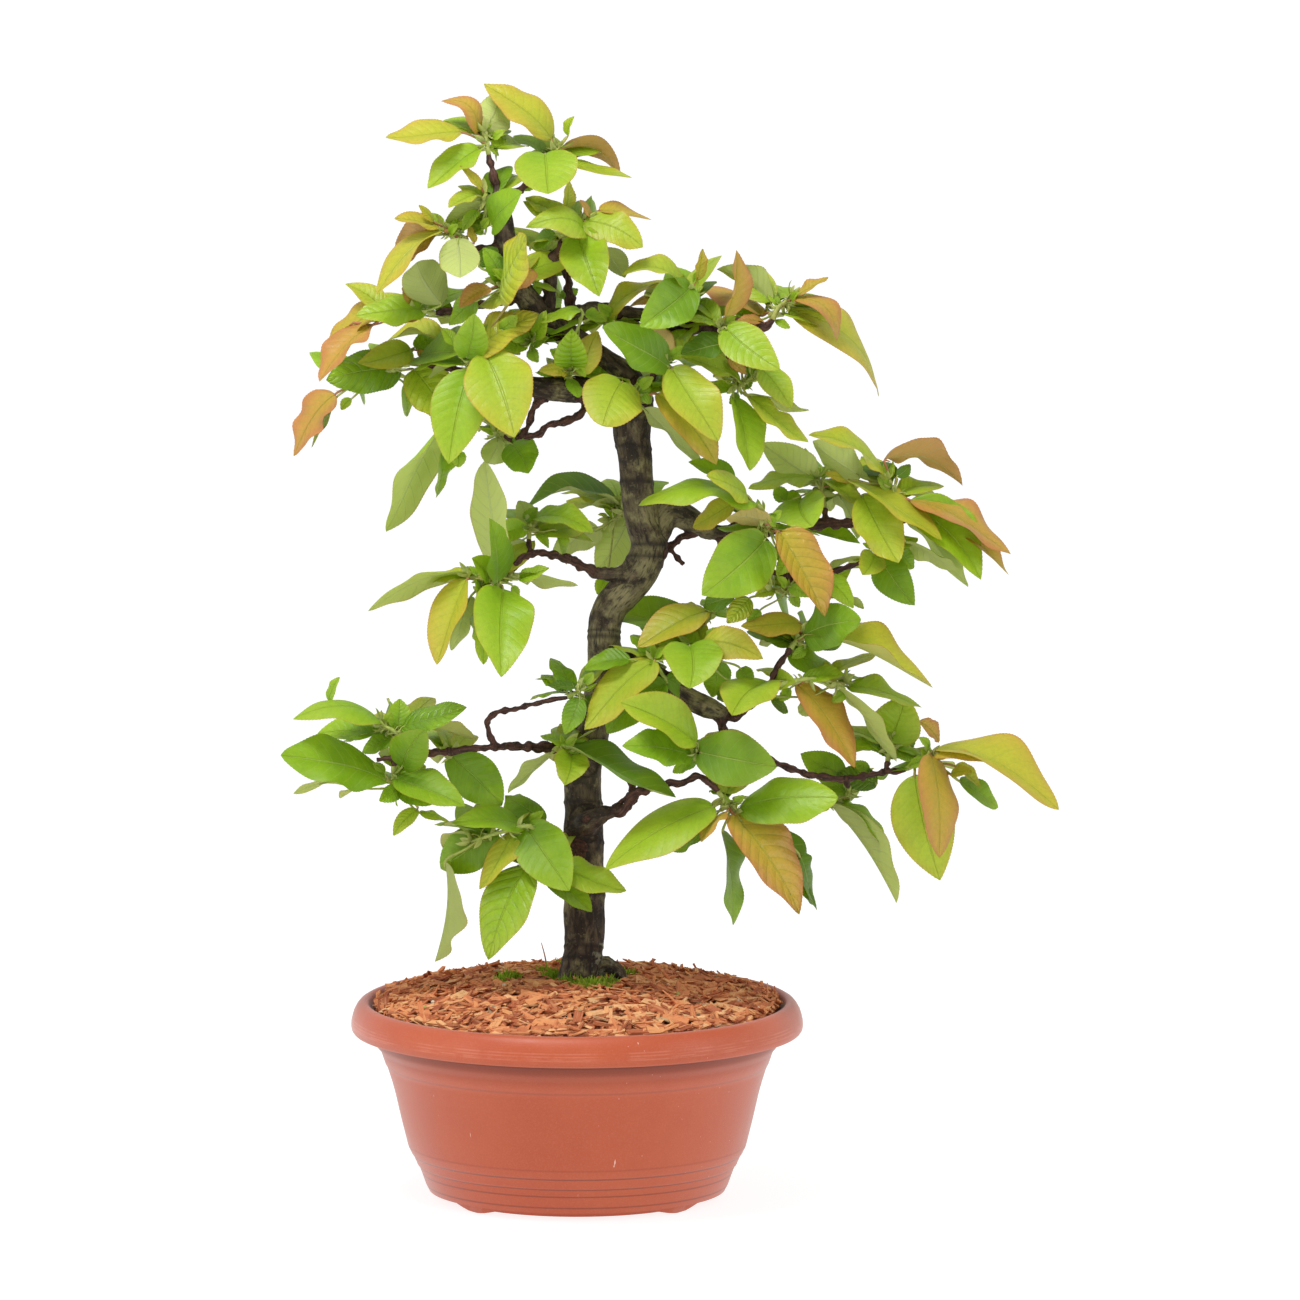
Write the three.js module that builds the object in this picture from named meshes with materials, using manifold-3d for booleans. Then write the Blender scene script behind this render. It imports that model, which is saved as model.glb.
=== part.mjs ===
// Chinese quince bonsai in its round plastic pot: millimetres, +Z up, origin under the middle of the pot.
import * as THREE from "three";
import { mergeVertices } from "three/addons/utils/BufferGeometryUtils.js";
import Module from "manifold-3d";

const wasm = await Module();
wasm.setup();

const GAP = 0.35;
const SHORTEST_EDGE = 0.06;
const LOWEST_FACE = 0.012;
const MOST_TURNS = 200;

// Pot
const POT_SIDES = 28;
const RIM_TOP = 132.5;
const WALL = 2.8;
const FLOOR_UNDERSIDE = 1.2;
const FLOOR_THICKNESS = 4;
const FOOT_RADIUS = 95;
const FOOT_WIDTH = 7;
const FOOT_COUNT = 4;
const NOTCH_HEIGHT = 5;
const NOTCH_WIDTH = 112;
const NOTCH_FLARE = 18;
const PAD_RADIUS = 14;
const DRAIN_COUNT = 6;
const DRAIN_RADIUS = 5;
const DRAIN_CIRCLE = 58;
const DRAIN_SIDES = 8;
// Radius and height up the outside of the wall, then over the rolled lip and down into the mouth.
const POT_WALL = [
  [97.7, 9.5], [103, 17.5], [106, 22.5], [110, 30], [112.7, 34], [121.3, 70], [126.3, 87], [131, 99],
  [134.5, 104],
  [140, 126],
];
const POT_LIP = [
  [146, 126], [147.6, 111], [150, 110.5], [151, 115], [150.2, 122], [147.5, 128.5], [144, RIM_TOP - 0.6],
  [141.5, RIM_TOP], [139, 130],
];
const LOWEST_INNER = 4;

// Root ball and mulch
const MOUND = [[138, 129], [128, 134], [98, 141], [60, 145.5], [0, 148]];
const MULCH_DEPTH = 12;
const MOUND_SINK = 2.5;
const CHIP_COUNT = 29;
const CHIP_LENGTH = [34, 52];
const CHIP_WIDTH = [15, 22];
const CHIP_THICKNESS = 4.5;
const CHIP_SINK = [1.6, 3.4];
const CHIP_TILT = 0.1;
const CHIP_REACH = 122;
const EDGE_ZONE = 105;
const EDGE_SHORTER = 0.7;
const GOLDEN_ANGLE = Math.PI * (3 - Math.sqrt(5));
const FOOT_CLEARANCE = 1.6;
const ROOT_CLEARANCE = 0.8;

// Leaves
const LEAF_SHAPE = 0.58;
const LEAF_THICKNESS = 1.1;
const LEAF_FOLD = 0.09;
const LEAF_WAVE = 0.05;
const PETIOLE = 0.75;
const LARGE_LEAF = 34;
const LARGE_STATIONS = [[0.2, 0.78], [0.5, 1], [0.8, 0.6]];
const SMALL_STATIONS = [[0.34, 0.95], [0.74, 0.72]];
const LONG_PETIOLE = 9;
const BENT_PETIOLE = 0.1;
const BENT_RADIUS = 1;
const PETIOLE_SIDES = 3;
const FOOT_FOLLOWS = 0.2;
const NUDGES = [0, -6, 6, -12, 12, -18, 18, -26, 26, -35, 35];
const ROOT_SPREAD = [0.3, 0.86];
const SHOOT_SIDES = 3;
const SHOOT_RADIUS = [2.3, 2.1];
const BACK_LEAF_LENGTH = [40, 56];
const SCALES = [[1, true], [1, false], [0.8, false], [0.62, false]];
const BARK_LUMPS = [0.95, 1.07];

// Places on the tree are given as a viewer in front of it sees them: across to the right of the trunk's foot, up the
// view, and back away from the viewer. The viewer looks down on the pot by VIEW_DOWN, and DEPTH spreads the crown.
const VIEW_DOWN = THREE.MathUtils.degToRad(10);
const DEPTH = 1.3;
const TO_VIEWER = new THREE.Vector3(0, -Math.cos(VIEW_DOWN), Math.sin(VIEW_DOWN));

function place(across, up, back) {
  const y = back * DEPTH;
  return new THREE.Vector3(across, y, (up - y * Math.sin(VIEW_DOWN)) / Math.cos(VIEW_DOWN));
}

// Trunk stations: across, up, back, radius. The first three stand in the soil.
const TRUNK = [
  [-1, 96, 0, 12], [-1, 120, 0, 13], [0, 141, 0, 14.7],
  [3, 158, 0, 13.2], [5, 175, 0, 13.4], [5, 191, 1, 13.7], [5, 218, 2, 13.3], [4.5, 244, 3, 13.4],
  [4.5, 256, 3, 12.8], [4, 288, 4, 12.3], [8.5, 305, 3, 12], [13, 321, 1, 11.7], [18, 341, -1, 11.7],
  [19, 358, -2, 12], [18, 371, -2, 10.7], [19, 383, -1, 11], [23, 393, 0, 11.3], [28, 399, 1, 11.7],
  [34, 406, 2, 12], [41, 415, 3, 12.7], [47, 426, 3, 12.3], [49, 435, 2, 11.7], [47, 441, 1, 12],
  [43, 453, 0, 11.3], [41, 465, -1, 11.3], [40, 478, -2, 11], [39, 491, -2, 11.3], [37, 505, -1, 12.3],
  [37, 517, 0, 13.3], [38, 528, 0, 13.3], [30, 545, -1, 11.3], [17, 555, -2, 10], [1, 567, -4, 9],
  [-17, 581, -6, 8.3], [-31, 594, -8, 8], [-42, 611, -10, 7.7], [-47, 631, -11, 7.5], [-49, 648, -11, 6.7],
  [-51, 667, -11, 6],
];
const TRUNK_SIDES = 8;
const HOLE_SIDES = 12;

// Woody limbs that grow from the trunk or from each other: across, up, back, radius.
const LIMBS = {
  root: [[6, 146, 2, 7], [20, 154, 3, 6], [27, 150, 3, 5.5], [33, 136, 3, 4]],
  crownRight: [[-18, 583, -5, 6], [15, 590, 2, 5], [39, 587, 6, 4.7], [75, 576, 6, 4.2], [92, 579, 4, 3.8],
    [115, 581, 2, 3], [127, 578, 0, 2.6], [130, 583, 1, 2.1]],
  crownLeft: [[36, 535, 0, 12], [9, 537, -6, 10], [-18, 537, -12, 8], [-45, 541, -14, 5.5],
    [-71, 546, -10, 4],
    [-95, 554, -4, 3], [-103, 554, -2, 2.4]],
  crownMiddle: [[-19, 588, -6, 4.4], [-15, 623, -9, 4], [-9, 634, -12, 3.2]],
  crownStem: [[-3, 570, 0, 3.6], [-5, 604, 6, 3.2], [-8, 622, 9, 2.6]],
  leftStub: [[-47, 632, -11, 3.6], [-65, 629, -16, 3], [-84, 625, -20, 2.6]],
  leftTwig: [[-34, 598, -9, 3.4], [-71, 591, -12, 2.6], [-94, 587, -14, 2.1]],
  hangingTwig: [[9, 531, -8, 3.4], [4, 523, -13, 2.8], [-1, 518, -15, 2.5], [-10, 515, -16, 2.7],
    [-19, 513, -17, 2.2], [-25, 507, -18, 2.4], [-35, 504, -19, 1.8]],
  downTwig: [[-18, 534, -12, 3.4], [-28, 526, -12, 2.6], [-33, 511, -11, 2.2], [-40, 503, -11, 2.7],
    [-44, 494, -11, 1.8]],
  leftLower: [[34, 415, 2, 5.5], [14, 415, -4, 4.2], [5, 419, -8, 3.6], [-5, 423, -13, 3.2],
    [-15, 426, -18, 2.7],
    [-31, 427, -24, 2.3], [-38, 423, -28, 2.3], [-43, 416, -31, 2]],
  leftLong: [[9, 286, 2, 5.5], [-1, 293, -5, 4.2], [-15, 298, -12, 3.5], [-38, 299, -20, 3],
    [-53, 299, -24, 2.8],
    [-85, 296, -28, 2.4], [-119, 293, -32, 2.2], [-133, 290, -33, 1.7]],
  leftRiser: [[-53, 299, -24, 2.4], [-58, 308, -26, 2.1], [-60, 316, -28, 2.2], [-55, 321, -29, 2.2],
    [-41, 324, -30, 1.9], [-19, 330, -31, 1.8], [-6, 332, -32, 1.6]],
  rightUpper: [[48, 437, 2, 11], [63, 456, 6, 9.8], [75, 451, 8, 8.6], [92, 442, 8, 4.8], [112, 447, 6, 4.1],
    [125, 444, 5, 4], [169, 448, 2, 3.4], [219, 451, 0, 2.5]],
  rightBrace: [[50, 428, 3, 3], [61, 433, 6, 2.6], [71, 439, 8, 2.3], [86, 443, 8, 2.4]],
  rightSpur: [[60, 433, 6, 2.2], [71, 421, 4, 1.6]],
  rightSlim: [[92, 441, 8, 3], [109, 423, 2, 2.2], [129, 416, -2, 2], [140, 413, -4, 2.2], [172, 416, -6, 2],
    [187, 421, -5, 1.9], [196, 425, -4, 1.7]],
  rightLower: [[20, 356, -2, 9.5], [42, 350, -8, 9.2], [59, 341, -14, 8.3], [75, 331, -20, 7.5],
    [92, 323, -24, 6.3], [98, 320, -25, 4.6]],
  rightHook: [[93, 322, -24, 4.2], [105, 318, -27, 3], [114, 326, -28, 2.6], [123, 333, -28, 2.5],
    [135, 353, -25, 2.3], [142, 364, -22, 1.9]],
  rightReturn: [[94, 321, -24, 3.4], [97, 306, -31, 2.5], [88, 299, -37, 1.9]],
  rightLong: [[97, 308, -30, 2.8], [138, 286, -26, 2.5], [179, 278, -18, 2.3], [205, 282, -14, 2.2],
    [219, 284.5, -14, 1.9]],
  rightRiser: [[59, 343, -14, 3.6], [75, 358, -14, 2.4], [81, 366, -14, 1.9]],
  knob: [[5, 248, 2, 10], [8.5, 250, -11, 7.5], [21, 255, -18, 4.8], [32, 257, -24, 3.6], [37, 265, -28, 3.2],
    [52, 273, -32, 2.8], [69, 275, -36, 2.6], [83, 279, -38, 2.4], [94, 269, -39, 1.9]],
  knobCurl: [[33, 259, -25, 3.2], [38, 268, -24, 2.8], [34, 277, -20, 2.2]],
  knobTwig: [[20, 253, -18, 2.2], [35, 268, -22, 1.5]],
  knobCut: [[6, 250, -8, 4], [7, 251, -16, 3.2]],
};
const SPUR_SIDES = 4;
const limbSides = (radius) => (radius > 7 ? 8 : radius > 3.3 ? 5 : 4);

// Each spray: its woody spur in the same form, the line of its green shoot as across, up, back, and its leaves as
// foot across, foot up, tip across, tip up, how far the tip is back from the foot, width seen, arch, and 1 where the
// pale underside shows.
const SPRAYS = {
  apex: {
    spur: [[-50.5, 657, -11, 3.4], [-55, 678, -10, 2.7], [-58.5, 692, -8, 2.1]],
    shoot: [[-61, 707, -5]],
    leaves: [[-77, 707, -127, 703, -10, 16, 3, 0], [-66, 706, -90, 728, 5, 13, 14, 0],
      [-61, 711, -51, 735, 20, 27, 2, 1], [-65, 696, -99, 669, -15, 19, 4, 0]],
  },
  apexRight: {
    spur: [[-50.5, 662, -11, 3], [-38, 669, -8, 2.4], [-31, 674, -5, 2.2], [-22, 683, 0, 1.9]],
    shoot: [[-13.5, 697, 4]],
    leaves: [[-17, 703, -62, 740, 8, 23, 9, 0], [-11, 695, 29, 679, 6, 13, 12, 1],
      [-21, 693, -19, 665, -34, 42, 3, 0], [-9, 687, 37, 677, -8, 7, 2, 0]],
  },
  middle: {
    spur: [],
    from: "crownMiddle",
    shoot: [[-5, 641, -14], [4, 648, -15]],
    leaves: [[6, 640, -34, 643, -15, 20, 14, 0], [5, 648, 44, 630, -12, 23, 4, 0],
      [15, 655, 50, 649, 8, 8, 2, 0], [1, 637, 15, 597, -22, 33, 4, 0],
      [12, 630, 32, 611, 16, 15, 2, 1]],
  },
  apexLeft: {
    spur: [[-50.3, 653, -11, 3], [-57, 658, -16, 2]],
    shoot: [[-62, 664, -20]],
    leaves: [
      [-58, 661, -88, 646, 8, 12, 2, 1], [-56, 644, -36, 666, -26, 20, 4, 0]],
  },
  leftTop: {
    spur: [[-71, 628, -17, 2.4], [-73, 635, -21, 1.8]],
    shoot: [[-79, 639, -24], [-88, 641, -26]],
    leaves: [[-91, 643, -121, 649, -5, 9, 1, 0], [-91, 643, -121, 630, 10, 16, 3, 1],
      [-89, 641, -133, 598, -15, 14, 8, 0], [-94, 638, -117, 618, 5, 13, 2, 0],
      [-79, 635, -77, 609, -24, 27, 3, 1]],
  },
  leftUpper: {
    spur: [],
    from: "leftTwig",
    shoot: [[-104, 588, -15], [-127, 586, -14]],
    leaves: [[-101, 590, -147, 585, -8, 20, 3, 0], [-90, 593, -106, 620, -22, 30, 3, 1],
      [-128, 591, -166, 568, 14, 17, 3, 0],
      [-137, 578, -171, 541, -16, 17, 4, 0]],
  },
  leftCrown: {
    spur: [],
    from: "crownLeft",
    shoot: [[-112, 556, 1], [-122, 551, 3], [-152, 540, 9]],
    leaves: [[-110, 563, -146, 554, -14, 19, 3, 0], [-105, 558, -76, 561, -22, 21, 3, 0],
      [-117, 550, -167, 543, -10, 29, 4, 0], [-108, 550, -76, 508, -24, 32, 4, 0],
      [-161, 534, -189, 493, 8, 20, 4, 0],
      [-122, 563, -158, 553, 12, 10, 2, 0], [-86, 567, -126, 570, 10, 9, 7, 0]],
  },
  crownFront: {
    spur: [[-45, 541, -14, 4.2], [-54, 546, -22, 2.6], [-60, 551, -26, 2]],
    shoot: [[-66, 556, -30], [-72, 550, -30]],
    leaves: [[-60, 558, -41, 503, -30, 46, 5, 0], [-71, 548, -85, 486, -18, 37, 5, 0],
      [-73, 557, -68, 586, -12, 23, 3, 0], [-71, 558, -25, 586, -20, 23, 4, 0],
      [-85, 515, -127, 442, 12, 20, 4, 1], [-89, 495, -94, 464, 8, 9, 1, 0]],
  },
  crownHanging: {
    spur: [[-42, 501, -11, 2.4], [-49, 506, -12, 1.8]],
    shoot: [[-54, 506, -15]],
    leaves: [[-52, 504, -59, 487, -14, 17, 1, 1], [-43, 500, -32, 480, -16, 24, 2, 0]],
  },
  crownOrange: {
    spur: [[-41, 610, -10, 3], [-38, 609, -17, 2.1]],
    shoot: [[-37, 609, -24], [-49, 605, -27]],
    leaves: [[-29, 615, -49, 598, -16, 17, 2, 0], [-51, 598, -33, 636, -22, 20, 3, 0],
      [-50, 606, -62, 630, 2, 14, 2, 0], [-57, 603, -78, 590, -8, 12, 1, 0],
      [-66, 595, -85, 579, 8, 15, 2, 0]],
  },
  crownBack: {
    spur: [],
    from: "crownStem",
    shoot: [[-12, 626, 12], [-24, 618, 14]],
    leaves: [[-25, 611, 11, 611, 6, 9, 8, 0]],
  },
  crownPink: {
    spur: [[-12, 577, -6, 3.4], [-22, 571, -15, 2]],
    shoot: [[-31, 568, -22]],
    leaves: [[-33, 569, -50, 582, -10, 12, 2, 0], [-28, 571, -20, 588, -10, 11, 1, 0]],
  },
  rightMiddle: {
    spur: [[92, 579, 4, 3], [99, 565, -1, 2.3], [104, 550, -6, 1.9]],
    shoot: [[107, 539, -10], [117, 544, -11]],
    leaves: [[104, 531, 115, 482, -16, 20, 3, 0], [112, 533, 155, 523, 10, 7, 1, 1],
      [115, 531, 154, 501, -8, 13, 2, 0],
      [109, 541, 69, 558, -12, 13, 3, 0],
      [123, 550, 143, 523, -14, 19, 3, 0]],
  },
  rightErect: {
    spur: [[92, 579, 4, 2.8], [94, 580, -7, 1.9]],
    shoot: [[97, 578, -16]],
    leaves: [[97, 581, 106, 629, 4, 12, 3, 0], [99, 577, 135, 549, -20, 28, 4, 0],
      [104, 566, 69, 559, -16, 17, 2, 0]],
  },
  rightCrown: {
    spur: [[75, 576, 6, 3], [75.5, 588, -6, 2]],
    shoot: [[75.5, 601, -17]],
    leaves: [[72, 602, 29, 611, -6, 12, 12, 0],
      [75, 603, 42, 577, -22, 32, 4, 0]],
  },
  rightArch: {
    spur: [[30, 588, 5, 2.4], [23, 583, -4, 1.8]],
    shoot: [[19, 581, -12]],
    leaves: [[21, 585, 59, 609, 4, 12, 7, 0]],
  },
  rightTop: {
    spur: [],
    from: "crownRight",
    shoot: [[133, 590, 3], [143, 598, 5]],
    leaves: [[129, 591, 93, 617, 10, 15, 6, 1], [123, 586, 80, 605, -8, 12, 5, 0],
      [144, 597, 173, 569, -6, 13, 12, 0], [141, 590, 201, 533, -14, 20, 14, 0],
      [120, 583, 80, 591, 15, 13, 2, 0]],
  },
  heart: {
    spur: [[38, 530, 0, 5], [46, 540, -14, 3], [53, 547, -20, 2]],
    shoot: [[60, 554, -25]],
    leaves: [[61, 551, 17, 577, -18, 27, 4, 0], [61, 559, 41, 580, 12, 20, 2, 1],
      [63, 550, 94, 501, -22, 32, 4, 0]],
  },
  heartLow: {
    spur: [[38, 528, -6, 4], [38, 530, -17, 2.2]],
    shoot: [[38, 532, -25]],
    leaves: [[30, 541, 17, 511, -26, 42, 3, 0], [53, 533, 93, 486, -8, 25, 4, 0],
      [45, 523, 86, 481, 10, 13, 3, 1]],
  },
  crownDark: {
    spur: [[-2, 537, -9, 4], [-4, 542, -18, 2.2]],
    shoot: [[-5, 548, -26]],
    leaves: [[-3, 551, -3, 576, -16, 22, 3, 0]],
  },
  leftSpray: {
    spur: [],
    from: "leftLower",
    shoot: [[-47, 409, -34], [-58, 410, -37], [-71, 412, -38]],
    leaves: [[-55, 418, -61, 489, 8, 24, 4, 1], [-53, 408, -58, 450, -14, 17, 3, 0],
      [-74, 414, -139, 389, 8, 11, 8, 1], [-73, 410, -93, 353, -10, 21, 4, 0],
      [-67, 410, -62, 353, -14, 11, 3, 0],
      [-71, 398, -83, 363, 14, 12, 2, 1], [-49, 403, -50, 344, -22, 40, 4, 0],
      [-43, 413, 1, 406, 4, 7, 2, 1]],
  },
  leftBud: {
    spur: [[-31, 427, -24, 2.2], [-32, 437, -19, 1.8]],
    shoot: [[-31, 447, -14]],
    leaves: [[-31, 445, -39, 463, 10, 16, 1, 1], [-33, 445, -55, 436, -10, 15, 2, 0],
      [-30, 450, 11, 441, -12, 15, 9, 0]],
  },
  behindTrunk: {
    spur: [[42, 463, 0, 3.4], [38, 461, 17, 2.6], [34, 458, 26, 2.1]],
    shoot: [[30, 455, 34], [22, 450, 37]],
    leaves: [[28, 460, -34, 458, -8, 13, 11, 0], [33, 450, 13, 417, 8, 27, 3, 1],
      [15, 445, -18, 425, 12, 20, 3, 1]],
  },
  rightEnd: {
    spur: [[210, 450.5, 0.5, 2.6], [211, 459, -1, 2]],
    shoot: [[210.5, 467, -3], [208, 477, -4]],
    leaves: [[204, 478, 154, 506, -12, 12, 8, 0], [189, 479, 157, 503, 13, 20, 3, 1],
      [205, 490, 257, 473, 8, 17, 11, 1],
      [190, 466, 214, 421, -22, 30, 4, 0], [181, 476, 243, 436, -14, 15, 3, 0],
      [219, 461, 269, 410, -12, 32, 5, 0],
      [219, 459, 261, 406, 12, 12, 3, 1], [222, 463, 289, 427, -4, 17, 8, 0],
      [215, 468, 245, 473, 16, 12, 2, 0]],
  },
  rightInner: {
    spur: [[166, 448, 2, 3], [165, 458, 6, 2]],
    shoot: [[163, 470, 11], [160, 478, 13]],
    leaves: [[160, 477, 114, 471, -8, 10, 5, 0], [164, 477, 191, 459, -10, 11, 2, 0],
      [158, 478, 123, 502, 12, 25, 3, 1],
      [149, 463, 157, 445, -38, 38, 3, 0], [175, 467, 187, 438, 14, 14, 2, 1],
      [152, 445, 189, 435, 6, 11, 2, 0]],
  },
  rightFront: {
    spur: [[125, 444, 5, 3.4], [126, 444, -9, 2.4], [127, 444, -17, 2]],
    shoot: [[127, 444, -26], [123, 453, -28]],
    leaves: [[120, 460, 41, 459, -6, 15, 13, 0], [113, 466, 86, 478, -16, 15, 2, 0],
      [105, 476, 74, 488, 12, 12, 1, 0],
      [105, 461, 77, 445, 10, 16, 2, 0], [129, 446, 99, 450, -12, 12, 7, 1],
      [125, 436, 83, 399, -24, 42, 5, 0], [135, 441, 165, 385, -14, 28, 5, 0]],
  },
  rightBuds: {
    spur: [[140, 413, -4, 2.4], [142, 407, -9, 1.8]],
    shoot: [[143, 403, -14], [130, 403, -16]],
    leaves: [[115, 398, 100, 381, -12, 15, 2, 0],
      [163, 413, 184, 391, -8, 15, 2, 0]],
  },
  rightViolin: {
    spur: [],
    from: "rightSlim",
    shoot: [[203, 427, -2]],
    leaves: [[202, 425, 225, 393, -14, 25, 3, 0], [198, 427, 190, 413, -22, 19, 1, 0]],
  },
  lowerUp: {
    spur: [],
    from: "rightRiser",
    shoot: [[84, 376, -12], [87, 387, -11]],
    leaves: [[86, 389, 40, 365, -16, 23, 4, 0], [81, 374, 21, 391, 10, 24, 4, 0],
      [82, 372, 52, 379, 18, 13, 1, 0]],
  },
  lowerFront: {
    spur: [[75, 357, -14, 2.4], [81, 358, -20, 1.8]],
    shoot: [[87, 361, -27]],
    leaves: [[84, 368, 124, 357, -14, 23, 8, 0], [75, 366, 75, 337, -30, 40, 4, 0],
      [97, 356, 90, 332, 10, 18, 2, 0]],
  },
  hookTop: {
    spur: [],
    from: "rightHook",
    shoot: [[149, 374, -18]],
    leaves: [[151, 372, 237, 338, -10, 15, 9, 0], [150, 365, 113, 376, 12, 16, 2, 0],
      [140, 361, 177, 345, 14, 17, 3, 0],
      [151, 373, 189, 383, -22, 30, 3, 0], [149, 381, 109, 379, -10, 16, 3, 0]],
  },
  hookFront: {
    spur: [[123, 333, -28, 2.4], [129, 337, -31, 1.9]],
    shoot: [[138, 341, -32], [152, 344, -28], [178, 341, -20]],
    leaves: [[127, 342, 103, 319, -26, 30, 3, 0], [147, 340, 185, 285, -8, 23, 5, 0],
      [150, 345, 178, 347, -6, 11, 1, 0], [171, 340, 213, 289, 12, 9, 3, 1],
      [181, 339, 230, 325, 4, 12, 6, 0]],
  },
  longErect: {
    spur: [[205, 282, -14, 2.2], [207, 289, -11, 1.8]],
    shoot: [[208, 297, -8], [210, 303, -7]],
    leaves: [[208, 303, 219, 332, -20, 34, 3, 0],
      [214, 296, 189, 308, 10, 15, 2, 0]],
  },
  longEnd: {
    spur: [],
    from: "rightLong",
    shoot: [[228, 288, -17], [237, 293, -20]],
    leaves: [[239, 297, 321, 257, -12, 23, 13, 0],
      [236, 293, 241, 225, -22, 25, 5, 0],
      [225, 280, 242, 210, -10, 42, 5, 0], [255, 276, 281, 259, 12, 13, 2, 0]],
  },
  longMiddle: {
    spur: [[179, 278, -18, 2.4], [181, 273, -12, 1.8]],
    shoot: [[181, 269, -6], [170, 262, -6]],
    leaves: [[178, 281, 149, 295, 10, 20, 2, 0], [200, 275, 173, 281, -18, 17, 2, 0],
      [180, 268, 160, 284, 2, 14, 1, 0],
      [169, 260, 213, 195, -6, 13, 4, 1], [171, 261, 205, 221, -10, 8, 10, 0]],
  },
  knobEnd: {
    spur: [],
    from: "knob",
    shoot: [[101, 260, -41], [106, 255, -42]],
    leaves: [[91, 259, 19, 217, -12, 29, 6, 0], [108, 257, 174, 265, -10, 31, 5, 0],
      [104, 254, 148, 187, -14, 33, 6, 0],
      [97, 242, 104, 180, 6, 13, 3, 0], [89, 249, 63, 230, 10, 14, 2, 0],
      [126, 243, 160, 190, 10, 14, 3, 0]],
  },
  returnEnd: {
    spur: [],
    from: "rightReturn",
    shoot: [[79, 295, -45]],
    leaves: [[82, 295, 133, 285, -14, 37, 4, 0], [76, 293, 30, 299, -14, 24, 4, 0],
      [80, 301, 29, 328, -10, 27, 4, 0]],
  },
  trunkFront: {
    spur: [[44, 351, -9, 3.4], [48, 356, -20, 2.1]],
    shoot: [[52, 357, -29]],
    leaves: [[52, 356, 5, 310, -12, 27, 5, 0], [60, 341, 20, 308, 4, 28, 4, 0],
      [36, 357, 4, 350, 2, 13, 2, 0]],
  },
  longLeaf: {
    spur: [[-10, 296, -9, 3], [-9, 300, -18, 1.8]],
    shoot: [[-8, 299, -26]],
    leaves: [[-8, 299, 66, 265, -12, 15, 3, 0],
      [-4, 293, -8, 273, -22, 24, 2, 0],
      [-17, 295, -46, 268, 4, 8, 1, 1]],
  },
  riserEnd: {
    spur: [],
    from: "leftRiser",
    shoot: [[2, 336, -33]],
    leaves: [[2, 331, -8, 307, -8, 15, 2, 0]],
  },
  leftOuter: {
    spur: [[-119, 293, -32, 2.4], [-120, 300, -32, 1.8]],
    shoot: [[-120, 307, -31], [-131, 314, -29]],
    leaves: [[-131, 316, -189, 317, -12, 15, 13, 0], [-135, 308, -173, 308, 12, 17, 2, 0],
      [-116, 312, -73, 325, -12, 17, 3, 0],
      [-119, 310, -118, 331, 6, 16, 1, 0],
      [-121, 305, -143, 295, 8, 13, 1, 0]],
  },
  leftOuterLow: {
    spur: [[-121, 293, -32, 2.2], [-122, 286, -32, 1.8]],
    shoot: [[-122, 277, -31], [-119, 269, -30]],
    leaves: [[-128, 277, -197, 293, -12, 31, 5, 0], [-116, 286, -101, 310, -20, 27, 2, 0],
      [-121, 278, -74, 259, -16, 23, 4, 0], [-118, 270, -94, 261, -12, 14, 1, 0]],
  },
  leftMatte: {
    spur: [[-85, 296, -28, 2.6], [-84, 294, -21, 1.8]],
    shoot: [[-84, 293, -14]],
    leaves: [[-84, 293, -50, 260, 4, 31, 4, 0]],
  },
  lowLeft: {
    spur: [[2, 234, 0, 3.6], [-19, 233, -13, 2.4], [-26, 238, -19, 2]],
    shoot: [[-31, 246, -27], [-48, 243, -26], [-70, 236, -19]],
    leaves: [[-35, 247, -83, 248, -12, 17, 3, 0], [-55, 241, -91, 218, 10, 30, 4, 0],
      [-41, 243, -65, 204, -8, 17, 3, 0],
      [-33, 245, -5, 203, -24, 36, 4, 0], [-21, 250, -48, 267, 10, 16, 2, 0],
      [-88, 222, -95, 156, 6, 8, 5, 1]],
  },
  lowFront: {
    spur: [[-19, 233, -13, 2.2], [-33, 228, -18, 1.8]],
    shoot: [[-36, 224, -22], [-30, 217, -27], [-22, 213, -28]],
    leaves: [[-33, 220, -59, 157, -14, 33, 5, 0], [-12, 219, 33, 203, -8, 20, 3, 0],
      [-21, 211, 10, 189, -4, 17, 2, 0]],
  },
};

// Seeded draws, so that the object comes out the same each time.
function drawer(seed) {
  let state = seed;
  return (low, high) => {
    state = (state * 1664525 + 1013904223) % 4294967296;
    return low + (high - low) * (state / 4294967296);
  };
}

// A solid from rings of corner points, counted anticlockwise as seen from the last ring; a ring may be one point.
function loft(rings) {
  const positions = rings.flat().flatMap((p) => [p.x, p.y, p.z]);
  const faces = [];
  let start = 0;
  for (let i = 0; i + 1 < rings.length; i++) {
    const count = rings[i].length;
    const next = start + count;
    for (let j = 0; j < count; j++) {
      const k = (j + 1) % count;
      if (rings[i + 1].length === 1) {
        faces.push(start + j, start + k, next);
      } else {
        faces.push(start + j, start + k, next + k, start + j, next + k, next + j);
      }
    }
    start = next;
  }
  const last = rings.at(-1).length;
  for (let j = 2; j < rings[0].length; j++) faces.push(0, j, j - 1);
  for (let j = 2; j < last; j++) faces.push(start, start + j - 1, start + j);
  const geometry = new THREE.BufferGeometry();
  geometry.setAttribute("position", new THREE.Float32BufferAttribute(positions, 3));
  geometry.setIndex(faces);
  return geometry;
}

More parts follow.
